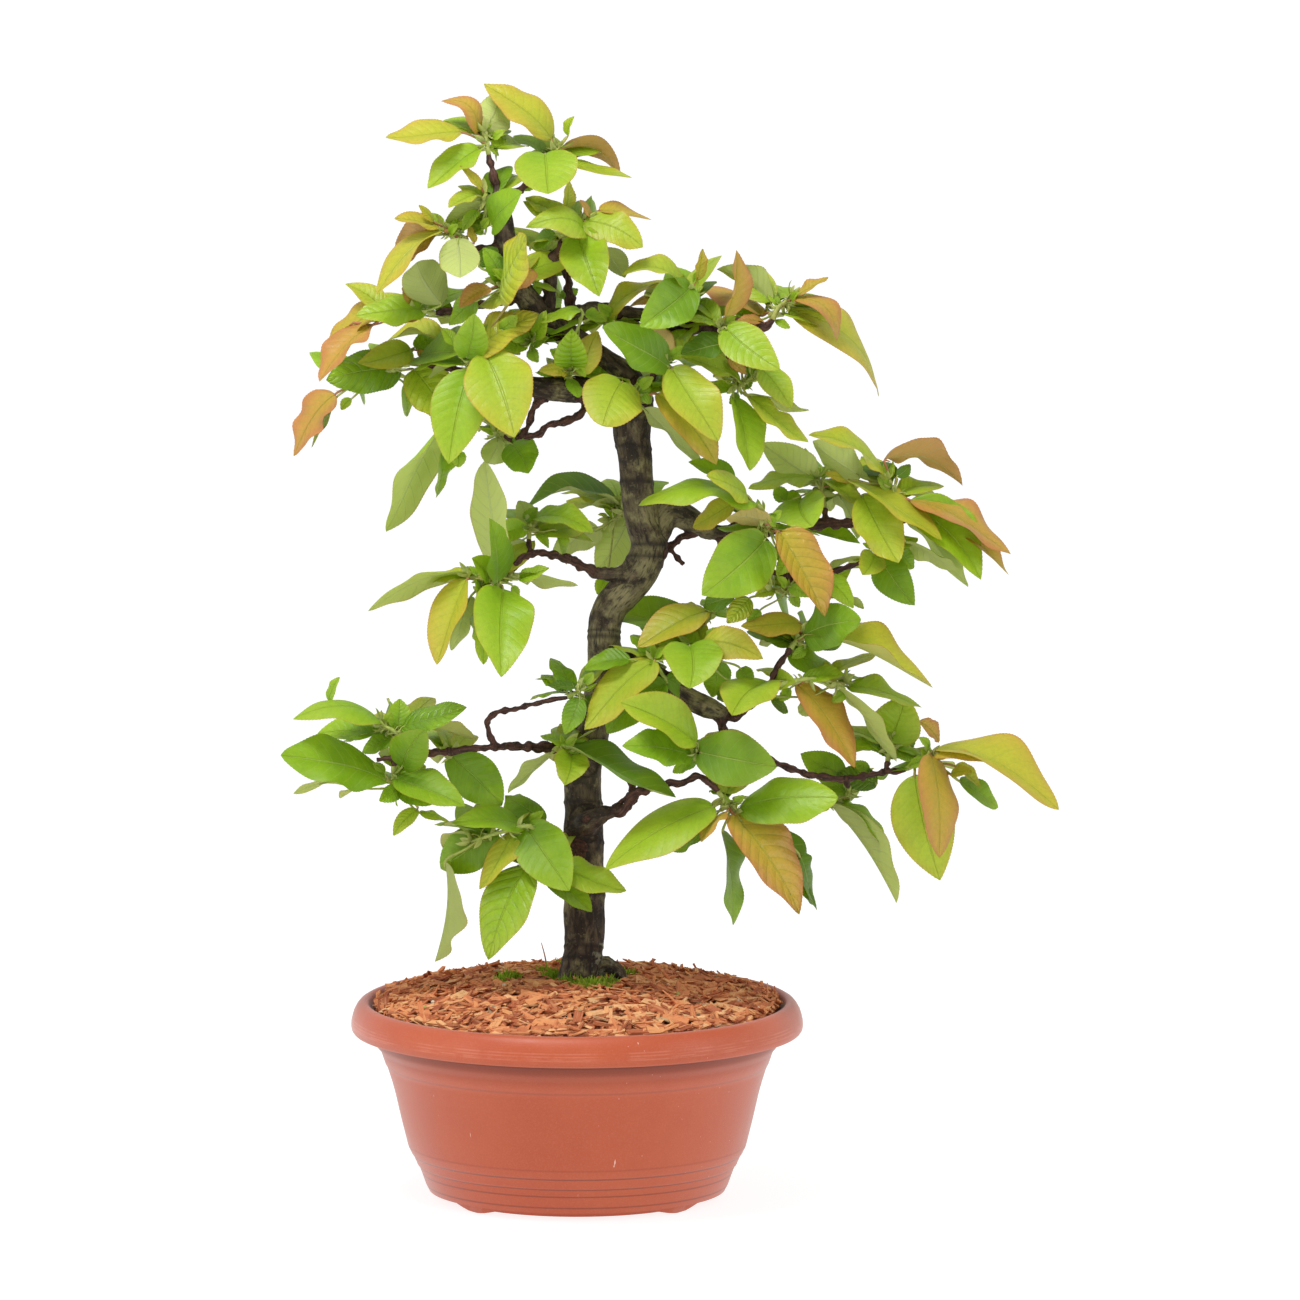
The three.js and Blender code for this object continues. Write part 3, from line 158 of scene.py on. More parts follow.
LIMBS = {
    "root": [(6, 146, 2, 7), (20, 154, 3, 6), (27, 150, 3, 5.5), (33, 136, 3, 4)],
    "crownRight": [(-18, 583, -5, 6), (15, 590, 2, 5), (39, 587, 6, 4.7), (75, 576, 6, 4.2),
        (92, 579, 4, 3.8), (115, 581, 2, 3), (127, 578, 0, 2.6), (130, 583, 1, 2.1)],
    "crownLeft": [(36, 535, 0, 12), (9, 537, -6, 10), (-18, 537, -12, 8), (-45, 541, -14, 5.5),
        (-71, 546, -10, 4), (-95, 554, -4, 3), (-103, 554, -2, 2.4)],
    "crownMiddle": [(-19, 588, -6, 4.4), (-15, 623, -9, 4), (-9, 634, -12, 3.2)],
    "crownStem": [(-3, 570, 0, 3.6), (-5, 604, 6, 3.2), (-8, 622, 9, 2.6)],
    "leftStub": [(-47, 632, -11, 3.6), (-65, 629, -16, 3), (-84, 625, -20, 2.6)],
    "leftTwig": [(-34, 598, -9, 3.4), (-71, 591, -12, 2.6), (-94, 587, -14, 2.1)],
    "hangingTwig": [(9, 531, -8, 3.4), (4, 523, -13, 2.8), (-1, 518, -15, 2.5), (-10, 515, -16, 2.7),
        (-19, 513, -17, 2.2), (-25, 507, -18, 2.4), (-35, 504, -19, 1.8)],
    "downTwig": [(-18, 534, -12, 3.4), (-28, 526, -12, 2.6), (-33, 511, -11, 2.2), (-40, 503, -11, 2.7),
        (-44, 494, -11, 1.8)],
    "leftLower": [(34, 415, 2, 5.5), (14, 415, -4, 4.2), (5, 419, -8, 3.6), (-5, 423, -13, 3.2),
        (-15, 426, -18, 2.7), (-31, 427, -24, 2.3), (-38, 423, -28, 2.3), (-43, 416, -31, 2)],
    "leftLong": [(9, 286, 2, 5.5), (-1, 293, -5, 4.2), (-15, 298, -12, 3.5), (-38, 299, -20, 3),
        (-53, 299, -24, 2.8), (-85, 296, -28, 2.4), (-119, 293, -32, 2.2), (-133, 290, -33, 1.7)],
    "leftRiser": [(-53, 299, -24, 2.4), (-58, 308, -26, 2.1), (-60, 316, -28, 2.2), (-55, 321, -29, 2.2),
        (-41, 324, -30, 1.9), (-19, 330, -31, 1.8), (-6, 332, -32, 1.6)],
    "rightUpper": [(48, 437, 2, 11), (63, 456, 6, 9.8), (75, 451, 8, 8.6), (92, 442, 8, 4.8),
        (112, 447, 6, 4.1), (125, 444, 5, 4), (169, 448, 2, 3.4), (219, 451, 0, 2.5)],
    "rightBrace": [(50, 428, 3, 3), (61, 433, 6, 2.6), (71, 439, 8, 2.3), (86, 443, 8, 2.4)],
    "rightSpur": [(60, 433, 6, 2.2), (71, 421, 4, 1.6)],
    "rightSlim": [(92, 441, 8, 3), (109, 423, 2, 2.2), (129, 416, -2, 2), (140, 413, -4, 2.2),
        (172, 416, -6, 2), (187, 421, -5, 1.9), (196, 425, -4, 1.7)],
    "rightLower": [(20, 356, -2, 9.5), (42, 350, -8, 9.2), (59, 341, -14, 8.3), (75, 331, -20, 7.5),
        (92, 323, -24, 6.3), (98, 320, -25, 4.6)],
    "rightHook": [(93, 322, -24, 4.2), (105, 318, -27, 3), (114, 326, -28, 2.6), (123, 333, -28, 2.5),
        (135, 353, -25, 2.3), (142, 364, -22, 1.9)],
    "rightReturn": [(94, 321, -24, 3.4), (97, 306, -31, 2.5), (88, 299, -37, 1.9)],
    "rightLong": [(97, 308, -30, 2.8), (138, 286, -26, 2.5), (179, 278, -18, 2.3), (205, 282, -14, 2.2),
        (219, 284.5, -14, 1.9)],
    "rightRiser": [(59, 343, -14, 3.6), (75, 358, -14, 2.4), (81, 366, -14, 1.9)],
    "knob": [(5, 248, 2, 10), (8.5, 250, -11, 7.5), (21, 255, -18, 4.8), (32, 257, -24, 3.6),
        (37, 265, -28, 3.2), (52, 273, -32, 2.8), (69, 275, -36, 2.6), (83, 279, -38, 2.4),
        (94, 269, -39, 1.9)],
    "knobCurl": [(33, 259, -25, 3.2), (38, 268, -24, 2.8), (34, 277, -20, 2.2)],
    "knobTwig": [(20, 253, -18, 2.2), (35, 268, -22, 1.5)],
    "knobCut": [(6, 250, -8, 4), (7, 251, -16, 3.2)],
}

# Each green shoot: the wood that carries it, as a limb or a spur's stations, the shoot's points, and a row
# for each leaf. A row is the foot across and up, the tip across, up and back, the width as seen, the arch,
# 1 for the underside, the tint from green to bronze, and one more 1 for a glossy leaf. The small leaves are
# in the scene alone.
SPRAYS = {
    "apex": {
        "wood": [(-50.5, 657, -11, 3.4), (-55, 678, -10, 2.7), (-58.5, 692, -8, 2.1)],
        "shoot": [(-61, 707, -5)],
        "leaves": [(-77, 707, -127, 703, -10, 16, 3, 0, 0.5), (-66, 706, -90, 728, 5, 13, 14, 0, 0.9),
            (-61, 711, -51, 735, 20, 27, 2, 1, 0.05), (-65, 696, -99, 669, -15, 19, 4, 0, 0.15)],
        "small": [(-56, 703, -47, 709, -3, 6, 1, 0, 0.1), (-59, 698, -51, 691, 3, 5, 1, 0, 0.1)],
    },
    "apexRight": {
        "wood": [(-50.5, 662, -11, 3), (-38, 669, -8, 2.4), (-31, 674, -5, 2.2), (-22, 683, 0, 1.9)],
        "shoot": [(-13.5, 697, 4)],
        "leaves": [(-17, 703, -62, 740, 8, 23, 9, 0, 0.5), (-11, 695, 29, 679, 6, 13, 12, 1, 0.9),
            (-21, 693, -19, 665, -34, 42, 3, 0, 0.15), (-9, 687, 37, 677, -8, 7, 2, 0, 0.3)],
        "small": [(-6, 705, -1, 719, -4, 6, 1, 0, 0.2), (-36, 670, -25, 676, 3, 9, 1, 0, 0.15)],
    },
    "middle": {
        "wood": "crownMiddle",
        "shoot": [(-5, 641, -14), (4, 648, -15)],
        "leaves": [(6, 640, -34, 643, -15, 20, 14, 0, 0.2), (5, 648, 44, 630, -12, 23, 4, 0, 0.3),
            (15, 655, 50, 649, 8, 8, 2, 0, 0.8), (1, 637, 15, 597, -22, 33, 4, 0, 0.15),
            (12, 630, 32, 611, 16, 15, 2, 1, 0)],
        "small": [(-7, 657, -5, 677, 4, 9, 1, 0, 0.4), (-14, 639, -30, 631, 12, 12, 1, 0, 0),
            (9, 650, 1, 663, -4, 5, 1, 0, 0.9), (5, 641, 14, 647, 3, 6, 1, 0, 0.1)],
    },
    "apexLeft": {
        "wood": [(-50.3, 653, -11, 3), (-57, 658, -16, 2)],
        "shoot": [(-62, 664, -20)],
        "leaves": [(-58, 661, -88, 646, 8, 12, 2, 1, 0.1), (-56, 644, -36, 666, -26, 20, 4, 0, 0)],
        "small": [(-63, 669, -79, 686, -3, 7, 1, 0, 0.6), (-66, 665, -87, 655, -14, 10, 1, 0, 0.3),
            (-65, 655, -77, 639, -5, 9, 1, 0, 0.1), (-62, 639, -71, 646, 3, 7, 1, 0, 0.1),
            (-63, 643, -57, 651, -2, 6, 1, 0, 0.1)],
    },
    "leftTop": {
        "wood": [(-71, 628, -17, 2.4), (-73, 635, -21, 1.8)],
        "shoot": [(-79, 639, -24), (-88, 641, -26)],
        "leaves": [(-91, 643, -121, 649, -5, 9, 1, 0, 0.6), (-91, 643, -121, 630, 10, 16, 3, 1, 1),
            (-89, 641, -133, 598, -15, 14, 8, 0, 0.5), (-94, 638, -117, 618, 5, 13, 2, 0, 0.95),
            (-79, 635, -77, 609, -24, 27, 3, 1, 0.05)],
        "small": [(-95, 647, -106, 659, -4, 6, 1, 0, 0.5), (-68, 633, -72, 647, 4, 6, 1, 0, 0.7),
            (-85, 638, -78, 646, -3, 6, 1, 0, 0.1)],
    },
    "leftUpper": {
        "wood": "leftTwig",
        "shoot": [(-104, 588, -15), (-127, 586, -14)],
        "leaves": [(-101, 590, -147, 585, -8, 20, 3, 0, 0.1), (-90, 593, -106, 620, -22, 30, 3, 1, 0.05),
            (-128, 591, -166, 568, 14, 17, 3, 0, 0.7), (-137, 578, -171, 541, -16, 17, 4, 0, 1)],
        "small": [(-102, 585, -126, 580, 10, 9, 1, 0, 1), (-110, 593, -117, 605, -3, 8, 1, 0, 0.9),
            (-151, 579, -155, 557, 6, 9, 2, 0, 0.7), (-85, 586, -95, 599, 8, 12, 1, 0, 0),
            (-98, 590, -91, 598, 3, 7, 1, 0, 0.1)],
    },
    "leftCrown": {
        "wood": "crownLeft",
        "shoot": [(-112, 556, 1), (-122, 551, 3), (-152, 540, 9)],
        "leaves": [(-110, 563, -146, 554, -14, 19, 3, 0, 0.3), (-105, 558, -76, 561, -22, 21, 3, 0, 0.05),
            (-117, 550, -167, 543, -10, 29, 4, 0, 0, 1), (-108, 550, -76, 508, -24, 32, 4, 0, 0.25, 1),
            (-161, 534, -189, 493, 8, 20, 4, 0, 1), (-122, 563, -158, 553, 12, 10, 2, 0, 0.3),
            (-86, 567, -126, 570, 10, 9, 7, 0, 0.4)],
        "small": [(-115, 541, -113, 517, 8, 10, 1, 0, 0.1), (-106, 563, -98, 554, -3, 6, 1, 0, 0.9),
            (-161, 531, -179, 495, 10, 9, 2, 0, 0.15), (-108, 565, -88, 574, 11, 13, 2, 0, 0),
            (-150, 531, -158, 523, 3, 7, 1, 0, 0.2), (-110, 558, -121, 567, -4, 6, 1, 0, 0.1)],
    },
    "crownFront": {
        "wood": [(-45, 541, -14, 4.2), (-54, 546, -22, 2.6), (-60, 551, -26, 2)],
        "shoot": [(-66, 556, -30), (-72, 550, -30)],
        "leaves": [(-60, 558, -41, 503, -30, 46, 5, 0, 0.3), (-71, 548, -85, 486, -18, 37, 5, 0, 0.1),
            (-73, 557, -68, 586, -12, 23, 3, 0, 0.05), (-71, 558, -25, 586, -20, 23, 4, 0, 0.45, 1),
            (-85, 515, -127, 442, 12, 20, 4, 1, 0.1), (-89, 495, -94, 464, 8, 9, 1, 0, 0.1)],
        "small": [(-55, 571, -51, 557, 8, 11, 1, 0, 0), (-45, 598, -68, 590, 6, 11, 2, 0, 0.3),
            (-78, 495, -79, 483, -3, 11, 1, 0, 0.1), (-81, 565, -91, 578, 4, 9, 1, 0, 0.1),
            (-51, 575, -38, 586, -4, 11, 1, 0, 0.1), (-65, 568, -55, 581, 4, 9, 1, 0, 0.05)],
    },
    "crownHanging": {
        "wood": [(-42, 501, -11, 2.4), (-49, 506, -12, 1.8)],
        "shoot": [(-54, 506, -15)],
        "leaves": [(-52, 504, -59, 487, -14, 17, 1, 1, 0.05), (-43, 500, -32, 480, -16, 24, 2, 0, 0)],
        "small": [(-43, 500, -25, 495, 9, 24, 1, 0, 0)],
    },
    "crownOrange": {
        "wood": [(-41, 610, -10, 3), (-38, 609, -17, 2.1)],
        "shoot": [(-37, 609, -24), (-49, 605, -27)],
        "leaves": [(-29, 615, -49, 598, -16, 17, 2, 0, 1), (-51, 598, -33, 636, -22, 20, 3, 0, 0.35, 1),
            (-50, 606, -62, 630, 2, 14, 2, 0, 0), (-57, 603, -78, 590, -8, 12, 1, 0, 1),
            (-66, 595, -85, 579, 8, 15, 2, 0, 0.05)],
        "small": [(-65, 619, -51, 631, 9, 15, 1, 0, 0), (-48, 623, -59, 611, 8, 12, 1, 0, 0),
            (-43, 603, -58, 617, -5, 9, 1, 0, 0.1)],
    },
    "crownBack": {
        "wood": "crownStem",
        "shoot": [(-12, 626, 12), (-24, 618, 14)],
        "leaves": [(-25, 611, 11, 611, 6, 9, 8, 0, 0.1)],
        "small": [(-31, 619, -16, 625, -12, 12, 1, 0, 0), (-21, 601, -10, 588, 14, 13, 1, 0, 0),
            (-35, 598, -21, 608, -4, 11, 1, 0, 0.05), (-11, 598, 2, 605, 7, 9, 1, 0, 0)],
    },
    "crownPink": {
        "wood": [(-12, 577, -6, 3.4), (-22, 571, -15, 2)],
        "shoot": [(-31, 568, -22)],
        "leaves": [(-33, 569, -50, 582, -10, 12, 2, 0, 0.1), (-28, 571, -20, 588, -10, 11, 1, 0, 0.1)],
        "small": [(-33, 565, -53, 560, -6, 11, 1, 0, 0.1), (-29, 565, -17, 571, -4, 8, 1, 0, 0.05),
            (-38, 571, -46, 563, 3, 7, 1, 0, 0.1), (-31, 563, -25, 553, -3, 9, 1, 0, 0.05),
            (-41, 578, -31, 583, 3, 7, 1, 0, 0.1)],
    },
    "rightMiddle": {
        "wood": [(92, 579, 4, 3), (99, 565, -1, 2.3), (104, 550, -6, 1.9)],
        "shoot": [(107, 539, -10), (117, 544, -11)],
        "leaves": [(104, 531, 115, 482, -16, 20, 3, 0, 0.1), (112, 533, 155, 523, 10, 7, 1, 1, 0.2),
            (115, 531, 154, 501, -8, 13, 2, 0, 0.3), (109, 541, 69, 558, -12, 13, 3, 0, 0.2),
            (123, 550, 143, 523, -14, 19, 3, 0, 0.2)],
        "small": [(104, 536, 85, 543, 12, 11, 1, 0, 0.1), (109, 557, 127, 535, 16, 10, 1, 1, 0.1),
            (101, 557, 114, 545, -4, 9, 1, 0, 0.9), (110, 537, 117, 545, 3, 7, 1, 0, 0.05),
            (107, 534, 101, 526, -3, 7, 1, 0, 0.05)],
    },
    "rightErect": {
        "wood": [(92, 579, 4, 2.8), (94, 580, -7, 1.9)],
        "shoot": [(97, 578, -16)],
        "leaves": [(97, 581, 106, 629, 4, 12, 3, 0, 0.85), (99, 577, 135, 549, -20, 28, 4, 0, 0.15),
            (104, 566, 69, 559, -16, 17, 2, 0, 0)],
        "small": [(92, 580, 70, 583, -6, 6, 2, 0, 0.1), (97, 578, 90, 586, 3, 6, 1, 0, 0.1),
            (99, 579, 106, 586, -2, 6, 1, 0, 0.1)],
    },
    "rightCrown": {
        "wood": [(75, 576, 6, 3), (75.5, 588, -6, 2)],
        "shoot": [(75.5, 601, -17)],
        "leaves": [(72, 602, 29, 611, -6, 12, 12, 0, 0.3), (75, 603, 42, 577, -22, 32, 4, 0, 0)],
        "small": [(80, 609, 84, 632, 3, 8, 1, 0, 0.6), (45, 600, 65, 604, 10, 9, 2, 1, 0),
            (55, 597, 33, 591, 6, 7, 2, 0, 0.9), (75, 598, 85, 605, -3, 6, 1, 0, 0.1)],
    },
    "rightArch": {
        "wood": [(30, 588, 5, 2.4), (23, 583, -4, 1.8)],
        "shoot": [(19, 581, -12)],
        "leaves": [(21, 585, 59, 609, 4, 12, 7, 0, 0.45)],
        "small": [(23, 586, 13, 594, -3, 8, 1, 0, 0.1)],
    },
    "rightTop": {
        "wood": "crownRight",
        "shoot": [(133, 590, 3), (143, 598, 5)],
        "leaves": [(129, 591, 93, 617, 10, 15, 6, 1, 0.05), (123, 586, 80, 605, -8, 12, 5, 0, 0.95),
            (144, 597, 173, 569, -6, 13, 12, 0, 0.9), (141, 590, 201, 533, -14, 20, 14, 0, 0.5),
            (120, 583, 80, 591, 15, 13, 2, 0, 0)],
        "small": [(145, 598, 170, 613, 4, 7, 1, 0, 0.8), (125, 581, 105, 583, -5, 7, 2, 0, 1),
            (140, 590, 151, 585, 3, 6, 1, 0, 0.2), (132, 583, 143, 577, -3, 6, 1, 0, 0.1),
            (135, 593, 126, 601, 3, 6, 1, 0, 0.1), (142, 594, 149, 603, -3, 6, 1, 0, 0.1)],
    },
    "heart": {
        "wood": [(38, 530, 0, 5), (46, 540, -14, 3), (53, 547, -20, 2)],
        "shoot": [(60, 554, -25)],
        "leaves": [(61, 551, 17, 577, -18, 27, 4, 0, 0), (61, 559, 41, 580, 12, 20, 2, 1, 0.7),
            (63, 550, 94, 501, -22, 32, 4, 0, 0.3)],
        "small": [(67, 540, 53, 538, 8, 8, 1, 0, 0), (52, 563, 42, 571, -3, 9, 1, 0, 0.1),
            (61, 541, 35, 539, 13, 8, 2, 0, 0), (63, 557, 74, 565, -3, 8, 1, 0, 0.1)],
    },
    "heartLow": {
        "wood": [(38, 528, -6, 4), (38, 530, -17, 2.2)],
        "shoot": [(38, 532, -25)],
        "leaves": [(30, 541, 17, 511, -26, 42, 3, 0, 0.3), (53, 533, 93, 486, -8, 25, 4, 0, 0.6),
            (45, 523, 86, 481, 10, 13, 3, 1, 0.05)],
        "small": [(42, 537, 52, 545, -3, 8, 1, 0, 0.1)],
    },
    "crownDark": {
        "wood": [(-2, 537, -9, 4), (-4, 542, -18, 2.2)],
        "shoot": [(-5, 548, -26)],
        "leaves": [(-3, 551, -3, 576, -16, 22, 3, 0, 0.05, 1)],
        "small": [(-7, 548, -27, 548, -10, 10, 3, 0, 0.5), (-5, 543, 2, 529, -12, 10, 1, 0, 0),
            (-12, 549, -28, 547, 2, 9, 1, 0, 0), (-4, 554, 7, 543, -4, 7, 1, 0, 0.1),
            (5, 548, 15, 578, 8, 20, 2, 0, 0.5), (2, 589, -27, 579, -8, 9, 2, 0, 0.1),
            (5, 586, 22, 581, 4, 9, 1, 0, 0.1), (-8, 558, -19, 563, -3, 9, 1, 0, 0.05)],
    },
    "leftSpray": {
        "wood": "leftLower",
        "shoot": [(-47, 409, -34), (-58, 410, -37), (-71, 412, -38)],
        "leaves": [(-55, 418, -61, 489, 8, 24, 4, 1, 0.1), (-53, 408, -58, 450, -14, 17, 3, 0, 0),
            (-74, 414, -139, 389, 8, 11, 8, 1, 0.2), (-73, 410, -93, 353, -10, 21, 4, 0, 0.5),
            (-67, 410, -62, 353, -14, 11, 3, 0, 0.1), (-71, 398, -83, 363, 14, 12, 2, 1, 0),
            (-49, 403, -50, 344, -22, 40, 4, 0, 0.1), (-43, 413, 1, 406, 4, 7, 2, 1, 0.2)],
        "small": [(-58, 411, -71, 425, -18, 16, 1, 0, 0.05), (-58, 409, -66, 381, 6, 10, 1, 0, 0),
            (-50, 413, -48, 431, 9, 9, 1, 0, 0), (-67, 410, -68, 365, 11, 11, 2, 0, 0.1),
            (-38, 410, -16, 418, -6, 10, 2, 0, 0.1), (-43, 406, -38, 398, 2, 6, 1, 0, 0.1),
            (-49, 405, -55, 398, -2, 5, 1, 0, 0.8), (-65, 413, -77, 418, 3, 8, 1, 0, 0.1)],
    },
    "leftBud": {
        "wood": [(-31, 427, -24, 2.2), (-32, 437, -19, 1.8)],
        "shoot": [(-31, 447, -14)],
        "leaves": [(-31, 445, -39, 463, 10, 16, 1, 1, 0.05), (-33, 445, -55, 436, -10, 15, 2, 0, 0.1),
            (-30, 450, 11, 441, -12, 15, 9, 0, 0.1)],
        "small": [(-27, 441, -18, 430, -4, 7, 1, 0, 0.1), (-14, 443, -6, 418, 6, 7, 2, 0, 0.1),
            (-35, 450, -25, 459, -3, 9, 1, 0, 0.05)],
    },
    "behindTrunk": {
        "wood": [(42, 463, 0, 3.4), (38, 461, 17, 2.6), (34, 458, 26, 2.1)],
        "shoot": [(30, 455, 34), (22, 450, 37)],
        "leaves": [(28, 460, -34, 458, -8, 13, 11, 0, 0), (33, 450, 13, 417, 8, 27, 3, 1, 0.05),
            (15, 445, -18, 425, 12, 20, 3, 1, 0)],
        "small": [(34, 462, 7, 461, -7, 9, 2, 1, 0.1), (9, 445, -19, 441, 14, 11, 2, 1, 0),
            (19, 413, 13, 400, -4, 11, 1, 0, 0.1), (29, 465, 42, 473, 8, 9, 1, 0, 0)],
    },
    "rightEnd": {
        "wood": [(210, 450.5, 0.5, 2.6), (211, 459, -1, 2)],
        "shoot": [(210.5, 467, -3), (208, 477, -4)],
        "leaves": [(204, 478, 154, 506, -12, 12, 8, 0, 0.35), (189, 479, 157, 503, 13, 20, 3, 1, 0.05),
            (205, 490, 257, 473, 8, 17, 11, 1, 0.9), (190, 466, 214, 421, -22, 30, 4, 0, 0.3),
            (181, 476, 243, 436, -14, 15, 3, 0, 0.4), (219, 461, 269, 410, -12, 32, 5, 0, 0.05),
            (219, 459, 261, 406, 12, 12, 3, 1, 0), (222, 463, 289, 427, -4, 17, 8, 0, 0.9),
            (215, 468, 245, 473, 16, 12, 2, 0, 0.2)],
        "small": [(213, 478, 185, 486, 15, 13, 2, 0, 0), (213, 479, 223, 488, 7, 9, 1, 0, 0),
            (259, 441, 291, 410, -11, 9, 2, 0, 0.8), (219, 436, 259, 415, 11, 9, 2, 1, 0.1),
            (209, 471, 199, 479, -3, 8, 1, 0, 0.1)],
    },
    "rightInner": {
        "wood": [(166, 448, 2, 3), (165, 458, 6, 2)],
        "shoot": [(163, 470, 11), (160, 478, 13)],
        "leaves": [(160, 477, 114, 471, -8, 10, 5, 0, 0.2), (164, 477, 191, 459, -10, 11, 2, 0, 0.25),
            (158, 478, 123, 502, 12, 25, 3, 1, 0.05), (149, 463, 157, 445, -38, 38, 3, 0, 0.1),
            (175, 467, 187, 438, 14, 14, 2, 1, 0), (152, 445, 189, 435, 6, 11, 2, 0, 0)],
        "small": [(145, 460, 143, 472, 6, 13, 1, 0, 0), (137, 463, 132, 475, 7, 11, 1, 0, 0),
            (182, 477, 163, 482, -5, 8, 1, 0, 0.6), (159, 479, 169, 487, 3, 7, 1, 0, 0.1)],
    },
    "rightFront": {
        "wood": [(125, 444, 5, 3.4), (126, 444, -9, 2.4), (127, 444, -17, 2)],
        "shoot": [(127, 444, -26), (123, 453, -28)],
        "leaves": [(120, 460, 41, 459, -6, 15, 13, 0, 0.1), (113, 466, 86, 478, -16, 15, 2, 0, 0.3),
            (105, 476, 74, 488, 12, 12, 1, 0, 0), (105, 461, 77, 445, 10, 16, 2, 0, 0.5),
            (129, 446, 99, 450, -12, 12, 7, 1, 0.6), (125, 436, 83, 399, -24, 42, 5, 0, 0.05),
            (135, 441, 165, 385, -14, 28, 5, 0, 0.8, 1)],
        "small": [(122, 441, 90, 445, 12, 9, 1, 0, 0), (132, 433, 145, 419, 10, 13, 1, 0, 0),
            (105, 398, 82, 391, 12, 16, 2, 0, 0), (129, 448, 137, 457, 3, 7, 1, 0, 0.1),
            (132, 445, 125, 453, -3, 6, 1, 0, 0.1), (115, 435, 105, 421, 8, 13, 1, 0, 0),
            (142, 425, 132, 411, -4, 11, 1, 0, 0.05)],
    },
    "rightBuds": {
        "wood": [(140, 413, -4, 2.4), (142, 407, -9, 1.8)],
        "shoot": [(143, 403, -14), (130, 403, -16)],
        "leaves": [(115, 398, 100, 381, -12, 15, 2, 0, 0.3, 1), (163, 413, 184, 391, -8, 15, 2, 0, 0.1)],
        "small": [(132, 402, 117, 399, -4, 8, 1, 0, 0.3), (141, 406, 157, 398, -4, 9, 1, 0, 0.05),
            (182, 398, 192, 390, 3, 6, 1, 1, 0.05), (139, 405, 132, 413, -3, 6, 1, 0, 0.1),
            (142, 402, 149, 391, 3, 8, 1, 0, 0.1), (122, 390, 112, 379, -4, 9, 1, 0, 0.1)],
    },
    "rightViolin": {
        "wood": "rightSlim",
        "shoot": [(203, 427, -2)],
        "leaves": [(202, 425, 225, 393, -14, 25, 3, 0, 0), (198, 427, 190, 413, -22, 19, 1, 0, 0.3)],
        "small": [(213, 432, 226, 417, 12, 13, 1, 0, 0), (201, 430, 189, 435, -3, 6, 1, 0, 0.1),
            (202, 428, 210, 435, 3, 6, 1, 0, 0.1)],
    },
    "lowerUp": {
        "wood": "rightRiser",
        "shoot": [(84, 376, -12), (87, 387, -11)],
        "leaves": [(86, 389, 40, 365, -16, 23, 4, 0, 0.5), (81, 374, 21, 391, 10, 24, 4, 0, 0),
            (82, 372, 52, 379, 18, 13, 1, 0, 0)],
        "small": [(87, 390, 97, 398, -3, 7, 1, 0, 0.1), (82, 365, 69, 350, 10, 13, 1, 0, 0)],
    },
    "lowerFront": {
        "wood": [(75, 357, -14, 2.4), (81, 358, -20, 1.8)],
        "shoot": [(87, 361, -27)],
        "leaves": [(84, 368, 124, 357, -14, 23, 8, 0, 0.5), (75, 366, 75, 337, -30, 40, 4, 0, 0.1),
            (97, 356, 90, 332, 10, 18, 2, 0, 0)],
        "small": [(105, 338, 92, 330, 8, 13, 1, 0, 0), (87, 371, 95, 379, 3, 6, 1, 0, 0.1),
            (109, 351, 117, 338, -4, 13, 1, 0, 0.05)],
    },
    "hookTop": {
        "wood": "rightHook",
        "shoot": [(149, 374, -18)],
        "leaves": [(151, 372, 237, 338, -10, 15, 9, 0, 0.45), (150, 365, 113, 376, 12, 16, 2, 0, 0),
            (140, 361, 177, 345, 14, 17, 3, 0, 0), (151, 373, 189, 383, -22, 30, 3, 0, 0),
            (149, 381, 109, 379, -10, 16, 3, 0, 0.6)],
        "small": [(152, 366, 179, 368, 13, 11, 2, 0, 0), (149, 371, 142, 379, 3, 7, 1, 0, 0.1),
            (152, 365, 142, 357, -3, 8, 1, 0, 0.05)],
    },
    "hookFront": {
        "wood": [(123, 333, -28, 2.4), (129, 337, -31, 1.9)],
        "shoot": [(138, 341, -32), (152, 344, -28), (178, 341, -20)],
        "leaves": [(127, 342, 103, 319, -26, 30, 3, 0, 0.2), (147, 340, 185, 285, -8, 23, 5, 0, 0.9),
            (150, 345, 178, 347, -6, 11, 1, 0, 0.1), (171, 340, 213, 289, 12, 9, 3, 1, 0.1),
            (181, 339, 230, 325, 4, 12, 6, 0, 0.2)],
        "small": [(130, 343, 147, 342, -14, 16, 1, 0, 0.2), (149, 328, 157, 319, -3, 11, 1, 1, 0.1),
            (142, 338, 134, 329, 3, 8, 1, 0, 0.1), (179, 335, 169, 328, -3, 9, 1, 0, 0.1),
            (129, 331, 142, 321, 8, 9, 1, 0, 0)],
    },
    "longErect": {
        "wood": [(205, 282, -14, 2.2), (207, 289, -11, 1.8)],
        "shoot": [(208, 297, -8), (210, 303, -7)],
        "leaves": [(208, 303, 219, 332, -20, 34, 3, 0, 0.2), (214, 296, 189, 308, 10, 15, 2, 0, 0)],
        "small": [(228, 316, 243, 301, 8, 11, 2, 0, 0.9), (210, 298, 228, 308, 12, 14, 2, 0, 0),
            (202, 299, 222, 298, 10, 15, 2, 0, 0), (209, 305, 199, 313, 3, 6, 1, 0, 0.1),
            (212, 297, 232, 290, -5, 11, 2, 0, 0.05)],
    },
    "longEnd": {
        "wood": "rightLong",
        "shoot": [(228, 288, -17), (237, 293, -20)],
        "leaves": [(239, 297, 321, 257, -12, 23, 13, 0, 0.55), (236, 293, 241, 225, -22, 25, 5, 0, 0.85),
